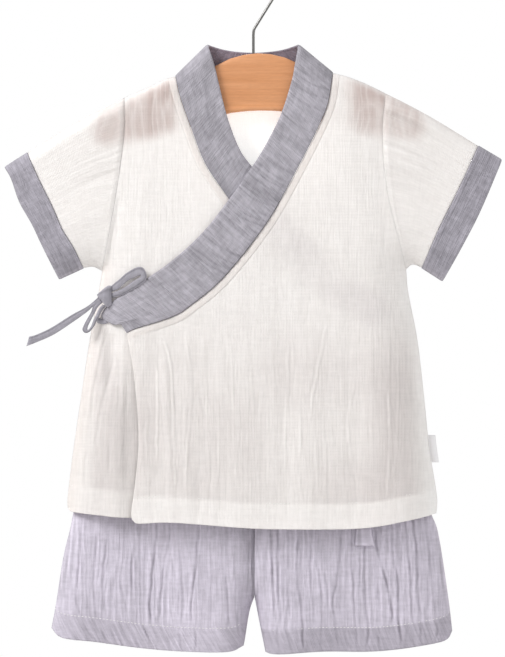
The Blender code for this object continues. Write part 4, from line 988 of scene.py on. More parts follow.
def sleeve_shape(which, seed):
    armhole, seam, high, low, _ = SIDES[which]
    grid = patch(Line(high[::-1]), Line(low[::-1]), Line(armhole), Line(seam))
    fold = Line(high)

    def shape(s, t):
        down, side = around(t)
        xz = grid(s, down)
        length = s * SLEEVE_LENGTH
        turned = down * SLEEVE_WIDTH * side
        dip, seam_shade, clear = armhole_seam(xz)
        at_head = smooth((0.62 - down) / 0.3)
        fan = (0.14 * creases(turned, length, 5.0, 70.0, seed)
               + 0.06 * creases(turned, length, 2.6, 40.0, seed + 1))
        eased = creases(turned, length, 6.0, 150.0, seed + 2)
        gathers = (0.15 + 0.75 * at_head) * eased * smooth((0.85 - s) / 0.6)
        seam_dip = dip - 0.3 * bell((1 - s) * SLEEVE_LENGTH, 1.0)
        allow = 0.25 * smooth(8.0 - length)
        bumps = (fan + gathers + allow + 0.5 * field(turned / 28, length / 70, seed + 3)) * clear
        points, normal = top.place(xz, side, seam_dip, bumps)
        # Painted shade along the armhole seam and in the creases of the gathers and the fan
        tone = (1 - 0.14 * seam_shade - 0.07 * (1 - eased) * (0.15 + at_head) * smooth((0.9 - s) / 0.6)
                - 0.012 * (1 - creases(turned, length, 5.0, 70.0, seed)))
        layers = SINGLE_LAYER + (1 - SINGLE_LAYER) * smooth(7.0 - length)
        colour = WHITE * blend_to(WOOD_BEHIND, 0.72 * wood_touch(xz)) * (0.975 * tone * layers)[:, None]
        # Painted shade, a little warm, along the sleeve's upper fold
        colour *= blend_to(TURNED_AWAY_SHADE, 0.8 * bell(distance(xz, fold), 3.0))
        return points, normal, colour, np.stack([turned, length], 1)
    return shape


def cuff_shape(which, seed):
    _, seam, _, _, end = SIDES[which]
    grid = patch(Line([seam[0], end[0]]), Line([seam[-1], end[-1]]), Line(seam), Line(end))

    def shape(s, t):
        down, side = around(t)
        s = spread([(0, 0), (0.36, 0.2), (1, 1)], s)
        xz = grid(0.004 + 0.996 * s, down)
        depth = s * CUFF_DEPTH
        turned = down * CUFF_WIDTH * side
        rolled = -0.55 * bell((1 - s) * CUFF_DEPTH, 0.8)
        # Next to the sleeve the doubled cuff is turned over its own seam, in two thin rolls
        rolls = bell(depth - 1.0, 0.5) + 0.8 * bell(depth - 2.7, 0.55)
        groove = bell(depth - 3.7, 0.6)
        folded = 0.30 * rolls - 0.30 * groove - 0.55 * smooth((0.8 - depth) / 0.8)
        long = creases(depth + turned * 0.04, turned, 6.0, 34.0, seed)
        fine = 0.30 * long + 0.25 * creases(turned, depth, 7.0, 30.0, seed + 1)
        points, normal = top.place(xz, side, BAND_PROUD + rolled + 0.1, folded + fine)
        # Random mottle, painted shade in the creases and the groove, painted highlights on the two rolls, and
        # a darker band round the middle of the right cuff
        mottle_and_shade = (1 + 0.09 * field(depth / 6, turned / 15, seed + 2)
                  + 0.08 * field(depth / 2.6, turned / 3.4, seed + 3)
                  - 0.07 * (1 - long) + 0.12 * rolls - 0.10 * groove
                  - 0.06 * smooth((9 - np.abs(depth - 8)) / 6) * (which == "right"))
        return points, normal, CUFF_GREY * mottle_and_shade[:, None], np.stack([depth, turned], 1)
    return shape


sleeves, cuffs = {}, {}
for which, seed in (("left", 61), ("right", 71)):
    sleeves[which] = grid_piece("gauze_sleeve_" + which, 56, 220, sleeve_shape(which, seed), white_gauze,
                                GAUZE_WALL, ring=True)
    cuffs[which] = grid_piece("gauze_cuff_" + which, 34, 240, cuff_shape(which, seed + 4), grey_gauze,
                              BAND_WALL, ring=True)

# %% [markdown]
# ## The collar band
# One doubled strip runs from the hidden end of the under front, round the neck and down the over
# front to the tie. Its creases lie across it on the over front, because the strip is cut across
# the warp there, and along it on the under front.

# %% Collar band
UNDER_SHARE, NECK_SHARE = 0.41, 0.56
STRIP_LENGTH = 790.0
STRIP_WIDTH = 31.0
# The band's end at the tie, from the seam to its free edge: its corner is folded under
BAND_END = [(-109.6, -316.4), (-112.2, -312.4), (-114.8, -309.0), (-120.0, -309.2), (-125.8, -306.6),
            (-130.2, -303.4), (-131.6, -300.5)]
FOLDED_CORNER = [(-116.5, -308.8), (-99.0, -302.8)]
BACK_NECK_SHADE = np.array([0.71, 0.63, 0.69])


def on_strip(line, s, share, hidden):
    """Part of the strip's seam or edge, read over that part's own share of the strip."""
    part = np.clip((s - share[0]) / (share[1] - share[0]), 0, 1)
    return line.at(1 - part if hidden else part)


def band_shape(s, t):
    """The strip, laid along its three parts in turn."""
    # The over front shows most, so its part of the strip gets most of the rows
    s = spread([(0, 0), (0.26, UNDER_SHARE), (0.36, NECK_SHARE), (1, 1)], s)
    parts = [((0.0, UNDER_SHARE), "under", True), ((UNDER_SHARE, NECK_SHARE), "back", False),
             ((NECK_SHARE, 1.0), "over", False)]
    xz, side = np.zeros((len(s), 2)), np.full(len(s), FRONT)
    for share, key, hidden in parts:
        here = (s >= share[0]) & (s <= share[1]) if key == "under" else (s > share[0]) & (s <= share[1])
        a = on_strip(band_seams[key], s[here], share, hidden)
        b = on_strip(band_edges[key], s[here], share, hidden)
        across = b - a
        width = np.linalg.norm(across, axis=1)[:, None]
        xz[here] = a + across * (0.3 / width + (1 - 0.3 / width) * t[here][:, None])
        if key == "over":
            straight = np.array(BAND_END[0]) + (np.array(BAND_END[-1]) - BAND_END[0]) * t[here][:, None]
            xz[here] += (Line(BAND_END).at(t[here]) - straight) * smooth((s[here] - 0.975) / 0.025)[:, None]
        side[here] = BACK if key == "back" else FRONT
    along, wide = s * STRIP_LENGTH, t * STRIP_WIDTH
    bow = 0.010 * (wide - 14) ** 2 - 0.25 * wide
    over = smooth((s - NECK_SHARE) / 0.03)
    firm = creases(along + bow, wide, 4.6, 60.0, 81)
    thin = creases(along + bow, wide, 2.4, 30.0, 82)
    deep = 0.55 + 0.45 * smooth((field(along / 60, 0 * wide, 87) + 0.5))
    across_creases = deep * (0.85 * firm + 0.30 * thin)
    lengthwise = creases(wide + 0.03 * along, along, 6.0, 70.0, 83)
    along_creases = 0.40 * lengthwise + 0.25 * creases(along, wide, 7.0, 20.0, 84)
    bumps = over * across_creases + (1 - over) * along_creases
    roll = -0.7 * bell((1 - t) * STRIP_WIDTH, 0.9) - 0.25 * bell(wide, 0.8)
    end_roll = -0.8 * bell((1 - s) * STRIP_LENGTH, 1.2)
    (x0, z0), (x1, z1) = FOLDED_CORNER
    past = ((z0 - xz[:, 1]) * (x1 - x0) + (xz[:, 0] - x0) * (z1 - z0)) / math.hypot(x1 - x0, z1 - z0)
    corner = over * smooth((-95 - xz[:, 0]) / 9)
    lift = BAND_PROUD + roll + end_roll + 0.1 + over * wrap_lift(xz) * (side < 0)
    lift += corner * (0.5 * bell(past + 0.9, 0.9) - 0.5 * smooth(past / 0.8))
    points, normal = top.place(xz, side, lift, bumps + folds(xz, FRONT_FOLDS) * (side < 0))
    # Painted shade in the dips of the creases
    dips = over * deep * (0.8 * (1 - firm) ** 1.5 + 0.45 * (1 - thin) ** 1.5)
    dips += (1 - over) * 0.5 * (1 - lengthwise)
    tone = 1 - 0.34 * dips + 0.05 * field(along / 16, wide / 9, 85)
    tone += 0.07 * field(along / 3.4, wide / 3.4, 86)
    # A little darker off the over front; painted shade on the folded-under corner and a painted highlight
    # just before its fold
    tone += 0.02 * over - 0.05 * (1 - over)
    tone -= corner * (0.10 * smooth(past / 0.6) - 0.10 * bell(past + 0.8, 0.6))
    # Painted highlight along the rolled free edge, and painted shade along the seam
    edge = 1 + 0.06 * bell((1 - t) * STRIP_WIDTH, 1.2) - 0.12 * bell(wide, 0.9)
    # The neck's inner side is in the shade of its own roll, and warmer there from the wood
    colour = BAND_GREY * (tone * edge)[:, None] * np.where(side[:, None] > 0, BACK_NECK_SHADE, 1.0)
    return points, normal, colour, np.stack([along, wide], 1)


collar = grid_piece("gauze_collar_band", 600, 34, band_shape, grey_gauze, BAND_WALL)

# %% [markdown]
# ## The shorts
# Two legs meet in a seam at the centre, front and back. The elastic in the waist gathers them, so
# deep crinkles run down from it and lean over inside the turned hem, where two layers were
# stitched with the crinkles pulled aside.

# %% Legs
SHORTS_HEM = 21.0


def leg_shape(which, seed):
    """One leg, from the centre seam out along its front and back again along its back."""
    outer_line, inseam, hem = {
        "left": (SHORTS_OUTER_LEFT, INSEAM_LEFT, SHORTS_HEM_LEFT),
        "right": (SHORTS_OUTER_RIGHT, INSEAM_RIGHT, SHORTS_HEM_RIGHT)}[which]
    top_z = WAIST_TOP_Z - WAISTBAND_HEIGHT + 0.5
    corner = (outer_line[1][0], top_z)
    rise = [(CENTRE_X, top_z), (CENTRE_X, (top_z + CROTCH_Z) / 2), (CENTRE_X, CROTCH_Z)]
    grid = patch(Chain([rise, inseam], [CENTRE_TURN]), Line([corner] + outer_line[2:]),
                 Line([(CENTRE_X, top_z), corner]), Line(hem))
    hem_line = Line(hem).poly[np.argsort(Line(hem).poly[:, 0])]
    cloth = leg_cloth[which]

    def shape(s, t):
        # The front gets six columns in ten, for its sharper creases
        out = np.where(t <= 0.6, t / 0.6, (1 - t) / 0.4)
        side = np.where(t <= 0.6, FRONT, BACK)
        out = cosine(out, 0.3)
        xz = grid(spread([(0, 0), (0.28, 0.5), (0.93, 0.97), (1, 1)], s), out)
        above = xz[:, 1] - np.interp(xz[:, 0], hem_line[:, 0], hem_line[:, 1])
        in_hem = smooth((SHORTS_HEM - above) / 1.5)
        lean = (0.55 if which == "left" else 0.35) * np.clip(SHORTS_HEM - above, 0, None) * (side < 0)
        across = xz[:, 0] - lean + 400 * (side > 0)
        crinkle = (0.50 * creases(across, xz[:, 1], 6.8, 120.0, seed)
                   + 0.30 * creases(across, xz[:, 1], 3.9, 60.0, seed + 1))
        # Between the deep ones, long rounded ridges lie side by side, unevenly
        phase = across / 5.6 + 0.9 * field(across / 15, xz[:, 1] / 150, seed + 6)
        phase = phase + 0.4 * field(across / 7, xz[:, 1] / 55, seed + 7)
        phase = phase + 0.16 * field(across / 3, xz[:, 1] / 8, seed + 10)
        wave = 0.5 + 0.5 * np.sin(2 * math.pi * phase)
        amount = np.clip(0.55 + 0.75 * field(across / 20, xz[:, 1] / 80, seed + 8), 0, 1)
        fine = 0.12 * creases(across, xz[:, 1], 2.4, 22.0, seed + 2)
        other = {"left": "right", "right": "left"}[which]
        front_grooves, front_shade = placed(xz, LEG_CREASES[which], 1.0)
        back_grooves, back_shade = placed(xz, mirrored(LEG_CREASES[other]), 1.0)
        grooves = np.where(side < 0, front_grooves, back_grooves)
        shade_here = np.where(side < 0, front_shade, back_shade)
        gather = 0.8 * np.sin(xz[:, 0] * 2 * math.pi / 11.0) * smooth((xz[:, 1] + 420) / 70)
        waves = 0.9 * field(xz[:, 0] / 30, xz[:, 1] / 120, seed + 3)
        stitch = -0.35 * bell(above - SHORTS_HEM, 1.0)
        bumps = crinkle + fine + gather + waves + stitch + 0.85 * grooves + 0.55 * amount * wave - 0.6
        to_centre = np.abs(xz[:, 0] - CENTRE_X)
        if which == "left":
            centre = -5.0 * bell(to_centre, 13)
            shade = 1 - 0.16 * bell(to_centre, 12)
        else:
            centre = 0.8 * bell(to_centre - 5, 5) - 1.0 * bell(to_centre, 1.5)
            shade = 1.0
        at_seam = smooth(to_centre / 3.0)
        held = (1 - smooth((xz[:, 1] - WAIST_TOP_Z + WAISTBAND_HEIGHT + 8) / 8))
        lift = centre * (side < 0) * below(xz, -400, 80)
        points, normal = cloth.place(xz, side, 0.0, (lift + bumps * (0.3 + 0.7 * at_seam)) * held)
        join = (out < 1e-6) & (xz[:, 1] > CROTCH_Z - 0.5)
        points[join, 0] = CENTRE_X
        # Painted shade in the dips and along the listed grooves, and painted highlights on the crests beside
        # the grooves
        dips = np.clip(1 - crinkle / 0.8, 0, 1)
        crest_highlight = np.clip(grooves, 0, 1)
        tone = 0.965 - 0.10 * dips - 0.16 * shade_here + 0.18 * crest_highlight
        tone += 0.06 * field(xz[:, 0] / 22, xz[:, 1] / 50, seed + 4)
        tone += 0.035 * field(xz[:, 0] / 7, xz[:, 1] / 16, seed + 5)
        # Painted highlights along the rounded ridges, brightest in a thin line on each
        tone += amount * (0.055 * (2 * wave - 1) + 0.09 * smooth((wave - 0.84) / 0.1))
        if which == "left":
            # The fullest part of this leg stands forward and catches the room's light
            tone += 0.10 * bell(xz[:, 0] + 64, 30)
        tone = tone * shade * (1 - in_hem * (0.22 if which == "right" else 0.09))
        return points, normal, LILAC * tone[:, None], np.stack([across, xz[:, 1]], 1)
    return shape


legs = {which: grid_piece("gauze_leg_" + which, 84, 400, leg_shape(which, seed), lilac_gauze,
                          GAUZE_WALL) for which, seed in (("left", 91), ("right", 101))}

# %% [markdown]
# ## Waistband
# A folded casing with elastic inside. The elastic gathers it into even small puffs.

# %% Waistband
PUFF_WIDTH = 7.0
CASING_WALL = 1.4


def waistband_shape(s, t):
    down, side = around(t)
    level = WAIST_TOP_Z - WAISTBAND_HEIGHT * s
    ends = [np.interp(-level, -Line(edge).poly[:, 1], Line(edge).poly[:, 0])
            for edge in (SHORTS_OUTER_LEFT, SHORTS_OUTER_RIGHT)]
    x = ends[0] + (ends[1] - ends[0]) * down
    xz = np.stack([x, level], 1)
    wave = np.sin(x * 2 * math.pi / PUFF_WIDTH + 1.5 * field(x / 20, level / 10, 112))
    puff = 0.9 * wave * np.sin(np.pi * np.clip(s, 0, 1)) ** 0.5
    rows = -0.5 * bell(s - 0.5, 0.05)
    points, normal = waist_cloth.place(xz, side, 0.0, puff + rows)
    normal[:, 2] = 0
    points[:, 2] = level
    # Painted light on the puffs that stand forward, and painted shade between them
    return points, normal, LILAC * (1 + 0.05 * puff)[:, None], np.stack([x, level], 1)


waistband = grid_piece("gauze_waistband", 10, 300, waistband_shape, lilac_gauze,
                       CASING_WALL, ring=True)

# %% [markdown]
# ## The tied bow
# The two ties are narrow tubes of the grey cloth, turned right side out and pressed flat. They
# meet in a half bow: one loop stands up, one hangs down, and a single long end runs out to the
# left. Each is lofted between its two outline curves with a flat oval section.

# %% Ties
# Columns x and z on the outer outline, then on the inner one
LOOP_UPPER = [
    (-125.2, -276.3, -123.2, -280.3), (-120.2, -272.3, -120.2, -279.2), (-116.2, -269.0, -116.5, -277.2),
    (-111.8, -265.0, -112.8, -273.7), (-107.3, -262.0, -108.3, -270.3), (-102.8, -259.5, -103.8, -268.2),
    (-99.3, -258.6, -100.3, -266.6), (-95.8, -259.5, -98.5, -266.0), (-93.3, -263.8, -97.8, -266.5),
    (-92.8, -268.3, -98.3, -267.6), (-94.5, -271.5, -99.8, -268.4), (-98.8, -274.8, -104.0, -270.9),
    (-103.8, -277.8, -108.5, -274.2), (-108.8, -280.5, -112.6, -277.0), (-113.8, -283.0, -116.3, -278.8),
    (-118.2, -284.4, -119.7, -280.0), (-123.2, -285.5, -123.7, -281.5)]
LOOP_LOWER = [
    (-134.2, -285.6, -130.6, -289.2), (-139.2, -292.2, -135.2, -293.5), (-141.2, -297.7, -138.0, -298.7),
    (-144.6, -303.7, -140.8, -303.9), (-147.5, -309.2, -143.4, -309.0), (-148.8, -313.2, -144.4, -312.0),
    (-146.5, -316.1, -144.2, -313.2), (-142.5, -315.0, -143.0, -312.6), (-138.5, -310.2, -141.2, -310.0),
    (-136.0, -305.2, -139.2, -304.9), (-133.7, -301.2, -137.0, -300.4), (-131.2, -296.2, -134.6, -295.2),
    (-128.2, -292.7, -131.2, -291.2)]
TAIL = [
    (-133.6, -283.6, -131.6, -288.6), (-140.6, -289.9, -139.2, -292.9), (-146.2, -293.9, -144.4, -297.5),
    (-158.6, -300.6, -156.2, -306.0), (-176.2, -311.6, -173.6, -317.4), (-189.6, -317.8, -188.2, -324.0),
    (-195.2, -319.2, -197.6, -327.6)]
KNOT = [
    (-136.2, -282.8, -135.4, -284.6), (-133.4, -280.2, -131.8, -288.4), (-129.8, -277.2, -129.2, -291.8),
    (-126.4, -275.0, -126.8, -294.0), (-123.2, -275.0, -123.2, -291.2)]
SIDE_STRAP = [
    (-136.6, -302.4, -136.2, -307.2), (-133.2, -303.2, -132.6, -308.2), (-129.6, -303.6, -128.6, -308.2),
    (-125.6, -302.6, -124.8, -306.2)]
WAIST_TIE = [
    (85.7, -336.0, 98.3, -336.0), (87.0, -400.0, 99.6, -400.0), (88.4, -450.0, 101.2, -450.0),
    (89.3, -485.0, 102.3, -485.0), (88.4, -501.0, 105.4, -501.4)]
KNOT_Y = -15.6
TIE_ROUND = 12.0
TAIL_START_X = -136.0


def tie_shape(table, face_y, thick, colour, crease=0.18, seed=0, ends=0.05):
    """Flat oval tube between two outline curves; its ends close flat, as a sewn end does."""
    first, second = Line([row[:2] for row in table]), Line([row[2:] for row in table])
    middle = Line(((first.poly + second.poly) / 2).tolist(), 1)
    reading = middle.length / middle.length[-1]

    def shape(s, t):
        a, b = [np.stack([np.interp(s, reading, column) for column in line.poly.T], 1)
                for line in (first, second)]
        mid, half = (a + b) / 2, (a - b) / 2
        turn = 2 * math.pi * t
        flat = np.sign(np.sin(turn)) * np.abs(np.sin(turn)) ** 0.75
        close = np.sqrt(np.clip(1 - np.clip((ends - np.minimum(s, 1 - s)) / ends, 0, 1) ** 2, 0, 1))
        wrinkle = crease * creases(turn * 1.1, s * first.length[-1], 1.0, 14.0, seed) * np.abs(np.sin(turn))
        seam = bell(np.cos(turn) - 0.60, 0.18)
        wrinkle = wrinkle - 1.3 * crease * seam
        rise = -(thick / 2 * flat + wrinkle * np.sign(np.sin(turn))) * close
        points = np.stack([mid[:, 0] + half[:, 0] * np.cos(turn), face_y(mid) + rise,
                           mid[:, 1] + half[:, 1] * np.cos(turn)], 1)
        out = points - np.stack([mid[:, 0], face_y(mid), mid[:, 1]], 1)
        # Painted highlights on the folded rims, painted shade along the seam line and in the creases, and
        # random tone
        tone = (1.05 + 0.10 * np.abs(np.cos(turn)) ** 4 - 0.34 * seam
                - 0.08 * (1 - creases(turn, s * 40, 1.0, 12.0, seed))
                + 0.08 * field(s * first.length[-1] / 2.6, turn * 1.2, seed))
        laid = np.stack([t * TIE_ROUND, s * first.length[-1]], 1)
        return points, out, colour * tone[:, None], laid
    return shape


def over_face(clear):
    """Face of the over front with the band on it, seen from a clearance before it."""
    def at(xz):
        points, _ = top.place(xz, FRONT, wrap_lift(xz) + BAND_PROUD)
        return points[:, 1] - clear
    return at


def under_face(xz):
    points, _ = top.place(xz, FRONT)
    return points[:, 1] - 1.3


def shorts_face(xz):
    points, _ = leg_cloth["right"].place(xz, FRONT)
    return points[:, 1] - 2.4


def tail_y(x):
    """The long end starts just behind the knot's face and falls back as it runs out."""
    return KNOT_Y + 1.0 + (TAIL_START_X - x) * 0.05


TIE_THICK = 1.8
ties = {
    "tie_upper_loop": (LOOP_UPPER, over_face(1.3), TIE_THICK, 110, 121),
    "tie_lower_loop": (LOOP_LOWER, lambda xz: np.full(len(xz), KNOT_Y + 1.0), TIE_THICK, 100, 122),
    "tie_long_end": (TAIL, lambda xz: tail_y(xz[:, 0]), TIE_THICK, 90, 123),
    "tie_wrap": (KNOT, lambda xz: np.full(len(xz), KNOT_Y), 7.0, 40, 124),
    "tie_side_strap": (SIDE_STRAP, under_face, 1.4, 30, 125)}
for name, (table, face, thick, rows, seed) in ties.items():
    end = 0.5 if name == "tie_wrap" else 0.04
    grid_piece(name, rows, 28, tie_shape(table, face, thick, TIE_GREY, 0.3, seed, end), tie_cotton,
               ring=True)
waist_tie_shape = tie_shape(WAIST_TIE, shorts_face, 1.4, LILAC, 0.15, 126, 0.01)
grid_piece("gauze_waist_tie", 120, 24, waist_tie_shape, lilac_gauze, ring=True)

# %% [markdown]
# ## Size label
# A short woven tape, folded in half and caught in the side seam. It is left bare.

# %% Size label
LABEL_TOP_Z, LABEL_BOTTOM_Z = -405.2, -429.0
LABEL_WIDTH = 6.4
LABEL_GAP = 0.2
LABEL_WALL = 0.22


def label_shape(s, t):
    z = LABEL_TOP_Z + (LABEL_BOTTOM_Z - LABEL_TOP_Z) * s
    side = sides[1].poly
    root = np.interp(-z, -side[:, 1], side[:, 0]) + LABEL_GAP
    fold = np.abs(2 * t - 1)
    reach = LABEL_WIDTH * np.sqrt(1 - fold ** 6)
    layer = np.where(t < 0.5, -1, 1) * (0.42 * fold ** 0.5)
    curl = 0.25 * np.sin(s * 3.1) * (reach / LABEL_WIDTH)
    points = np.stack([root + reach, layer + curl, z], 1)
    out = np.stack([0 * s, np.where(t < 0.5, -1.0, 1.0), 0 * s], 1)
    return points, out, linear("#FBFAFC"), np.stack([t * 13, s * 24], 1)


grid_piece("woven_size_label", 20, 24, label_shape, label_satin, LABEL_WALL)

# %% [markdown]
# ## The hanger
# A child's hanger is sawn from a flat beech board, its edges rounded on a moulder and its face
# lacquered. The grain runs along the board. The rounded lower rim catches the light and shows
# brighter than the face.

# %% Wood and steel
def wood_material():
    """Steamed beech: straight pinkish grain, short dark flecks and a thin satin lacquer."""
    material, tree, shader = new_material("lacquered_beech")
    place = add(tree, "TexCoord").outputs["Object"]
    along = add(tree, "Mapping", {"Vector": place, "Scale": (9.0, 60.0, 260.0), "Rotation": (0.0, 0.03, 0.0)})
    grain = add(tree, "TexNoise", {"Vector": along.outputs["Vector"], "Scale": 1.0, "Detail": 5.0,
                                   "Distortion": 0.4})
    fleck = drawn_out_noise(tree, place, (160.0, 900.0, 1500.0), 2.0)
    ramp = add(tree, "ValToRGB", {"Fac": grain.outputs["Fac"]})
    stops = ramp.color_ramp.elements
    stops[0].position, stops[0].color = 0.30, (*linear("#D08D5A"), 1.0)
    stops[1].position, stops[1].color = 0.72, (*linear("#E4A374"), 1.0)
    tone = add(tree, "MapRange", {"Value": fleck.outputs["Fac"], "From Min": 0.3, "From Max": 0.7,
                                  "To Min": 0.93, "To Max": 1.03})
    mixed = multiplied(tree, ramp.outputs["Color"], tone.outputs["Result"])
    # The attribute holds the painted light that makes the rounded rims paler
    colour_and_painted_light = add(tree, "Attribute", attribute_name="colour_and_painted_light", attribute_type="GEOMETRY").outputs["Color"]
    tree.links.new(multiplied(tree, mixed, colour_and_painted_light), shader.inputs["Base Color"])
    bump = add(tree, "Bump", {"Height": grain.outputs["Fac"], "Strength": 0.2, "Distance": 0.0002})
    tree.links.new(bump.outputs["Normal"], shader.inputs["Normal"])
    shader.inputs["Roughness"].default_value = 0.42
    shader.inputs["Coat Weight"].default_value = 0.25
    shader.inputs["Coat Roughness"].default_value = 0.25
    return material


def steel_material():
    """Bright drawn wire, a little dulled."""
    material, _, shader = new_material("drawn_steel_wire")
    shader.inputs["Base Color"].default_value = (*linear("#7C7B79"), 1.0)
    shader.inputs["Roughness"].default_value = 0.34
    shader.inputs["Metallic"].default_value = 1.0
    return material


beech, steel = wood_material(), steel_material()


# %% Hanger
def hanger_shape(s, t):
    table = np.array([(-x, a, b) for x, a, b in HANGER_PROFILE[:0:-1]] + HANGER_PROFILE)
    run = Line(table[:, [0, 1]]).at(s)[:, 0]
    high, low = np.interp(run, table[:, 0], table[:, 1]), np.interp(run, table[:, 0], table[:, 2])
    tall = (high - low) / 2
    end = np.clip((HANGER_PROFILE[-1][0] - np.abs(run)) / 8, 0, 1)
    tall = tall * (0.02 + 0.98 * np.sqrt(1 - (1 - end) ** 2))
    thick = HANGER_THICK / 2 * np.sqrt(1 - 0.98 * (1 - end) ** 2)
    turn = 2 * math.pi * t
    c, q = np.cos(turn), np.sin(turn)
    power = 0.42
    up = (high + low) / 2 + tall * np.sign(c) * np.abs(c) ** (power * 0.5)
    y = -thick * np.sign(q) * np.abs(q) ** power
    x = HANGER_CENTRE_X + run * math.cos(HANGER_TILT) - up * math.sin(HANGER_TILT)
    z = HANGER_APEX_Z + run * math.sin(HANGER_TILT) + up * math.cos(HANGER_TILT)
    points = np.stack([x, y, z], 1)
    out = np.stack([0 * x, y, up - (high + low) / 2], 1)
    # Painted light makes the rounded rims paler than the face, the lower one most
    painted_rim_light = smooth((0.66 - np.abs(q)) / 0.35) * 0.10 + 0.20 * smooth((-c - 0.10) / 0.40)
    return points, out, np.ones((len(x), 3)) * (0.94 + painted_rim_light)[:, None], np.stack([x, z], 1)


grid_piece("beech_hanger", 150, 48, hanger_shape, beech, ring=True)

# %% Hook
HOOK_WIRE = 2.4
HOOK_BEND_RADIUS = 18.3
HOOK_KNEE_Z = -51.3
HOOK_SCREW_DEPTH = 14.0
HOOK_LEAN_DEGREES = 31.4
HOOK_OVER_DEGREES = 205.0


def hook_path():
    """Up out of the wood, off to the right at the knee, and over in an open bend."""
    centre_z = HOOK_WIRE / 2 - HOOK_BEND_RADIUS
    lean = math.radians(HOOK_LEAN_DEGREES)
    path = [(0, 0, HANGER_APEX_Z - HOOK_SCREW_DEPTH), (0, 0, HANGER_APEX_Z + 4), (0, 0, HOOK_KNEE_Z - 6.0),
            (0.05, 0, HOOK_KNEE_Z - 3.0), (0.5, 0, HOOK_KNEE_Z - 0.4), (1.8, 0, HOOK_KNEE_Z + 2.4)]
    for k in range(33):
        a = -lean + (math.radians(HOOK_OVER_DEGREES) + lean) * k / 32
        path.append((HOOK_BEND_RADIUS * math.cos(a), 0, centre_z + HOOK_BEND_RADIUS * math.sin(a)))
    return Line(path, 4)


def hook_shape(s, t):
    path = hook_path()
    here, ahead, behind = path.at(s), path.at(np.minimum(s + 0.002, 1)), path.at(np.maximum(s - 0.002, 0))
    along = ahead - behind
    along /= np.linalg.norm(along, axis=1)[:, None]
    out = np.stack([-along[:, 2], 0 * s, along[:, 0]], 1)
    turn = 2 * math.pi * t
    tip = np.sqrt(np.clip(1 - np.clip((0.008 - (1 - s)) / 0.008, 0, 1) ** 2, 0.0, 1))
    ring = out * np.cos(turn)[:, None] + np.stack([0 * s, np.sin(turn), 0 * s], 1)
    points = here + ring * (HOOK_WIRE / 2 * tip)[:, None]
    return points, ring, linear("#8C8B88"), np.stack([t * 8, s * 160], 1)


grid_piece("steel_wire_hook", 160, 20, hook_shape, steel, ring=True)


# %% [markdown]
# ## Stitching
# Every hem that shows has its row of machine stitches, about 3 mm long. Each stitch is a
# small elongated bead of thread that sits in the dip of its row.

# %% Stitches
THREAD_PROUD = 0.25


def stitch_row(name, xz, place, colour, length=2.3, radius=0.24, every=3.1):
    """Beads of thread along a path on the laid-out cloth, put on its outer face by place."""
    line = Line(xz, 4)
    count = int(line.length[-1] / every)
    starts = (np.arange(count) + 0.5) * every / line.length[-1]
    reach = length / 2 / line.length[-1]
    a, _ = place(line.at(np.clip(starts - reach, 0, 1)))
    b, out = place(line.at(np.clip(starts + reach, 0, 1)))
    bm = bmesh.new()
    for p, q, n in zip(a, b, out):
        run = Vector(q - p)
        mid = Vector((p + q) / 2) + Vector(n) * 0.05
        frame_axes = run.to_track_quat("X", "Z").to_matrix().to_4x4()
        size = Matrix.Diagonal((length / 2 * MM, radius * MM, radius * MM, 1.0))
        bmesh.ops.create_icosphere(bm, subdivisions=1, radius=1.0,
                                   matrix=Matrix.Translation(mid * MM) @ frame_axes @ size)
    mesh = bpy.data.meshes.new(name)
    bm.to_mesh(mesh)
    bm.free()
    colour_and_painted_light = mesh.color_attributes.new("colour_and_painted_light", "FLOAT_COLOR", "POINT")
    colour_and_painted_light.data.foreach_set("color", np.tile(np.append(colour, 1.0), len(mesh.vertices)).astype(np.float32))
    mesh.uv_layers.new(name="laid_flat")
    print(name, count, "stitches")
    return keep(name, mesh, thread_white)


def above_hem(hem, height):
    poly = Line(hem).poly
    return [(x, z + height) for x, z in poly[2:-2]]


def on_top(side, lift=None):
    def place(xz):
        points, normal = top.place(xz, side, (lift(xz) if lift else 0.0) + THREAD_PROUD)
        return points, normal
    return place


def on_leg(which, side):
    def place(xz):
        points, normal = leg_cloth[which].place(xz, side, THREAD_PROUD)
        return points, normal
    return place


THREAD = linear("#FBFAF7")
# Of the under front's hem only the part left of the over front shows
hem_rows = {
    "stitches_hem_over": (above_hem(HEM_OVER, TURNED_HEM), on_top(FRONT, wrap_lift)),
    "stitches_hem_under": (above_hem(HEM_UNDER, TURNED_HEM)[:10], on_top(FRONT)),
    "stitches_hem_back": (above_hem(HEM_BACK, TURNED_HEM), on_top(BACK)),
    "stitches_leg_left": (above_hem(SHORTS_HEM_LEFT, SHORTS_HEM), on_leg("left", FRONT)),
    "stitches_leg_right": (above_hem(SHORTS_HEM_RIGHT, SHORTS_HEM), on_leg("right", FRONT))}
for name, (path, place) in hem_rows.items():
    stitch_row(name, path, place, THREAD)

# %% [markdown]
# ## Shells in place of the solids
# Each shell replaces its solid, which is hidden. The size that each panel was cut to is listed
# beside the area inside its own seams.

# %% What replaces what
swaps = {
    "gauze_back": "back_panel", "gauze_front_over": "front_over", "gauze_front_under": "front_under",
    "gauze_sleeve_left": "sleeve_left", "gauze_sleeve_right": "sleeve_right", "gauze_cuff_left": "cuff_left",
    "gauze_cuff_right": "cuff_right", "gauze_collar_band": "collar_band", "gauze_leg_left": "shorts_leg_left",
    "gauze_leg_right": "shorts_leg_right", "gauze_waistband": "waistband", "tie_upper_loop": "tie_loop_upper",
    "tie_lower_loop": "tie_loop_lower", "tie_long_end": "tie_tail", "tie_wrap": "tie_knot",
    "tie_side_strap": "tie_side_strap", "gauze_waist_tie": "waist_tie", "woven_size_label": "size_label",
    "beech_hanger": "hanger_wood", "steel_wire_hook": "hook"}
for piece, node in swaps.items():
    if piece == node:
        made_pieces[piece].name = piece + "_cloth"
    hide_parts(node)


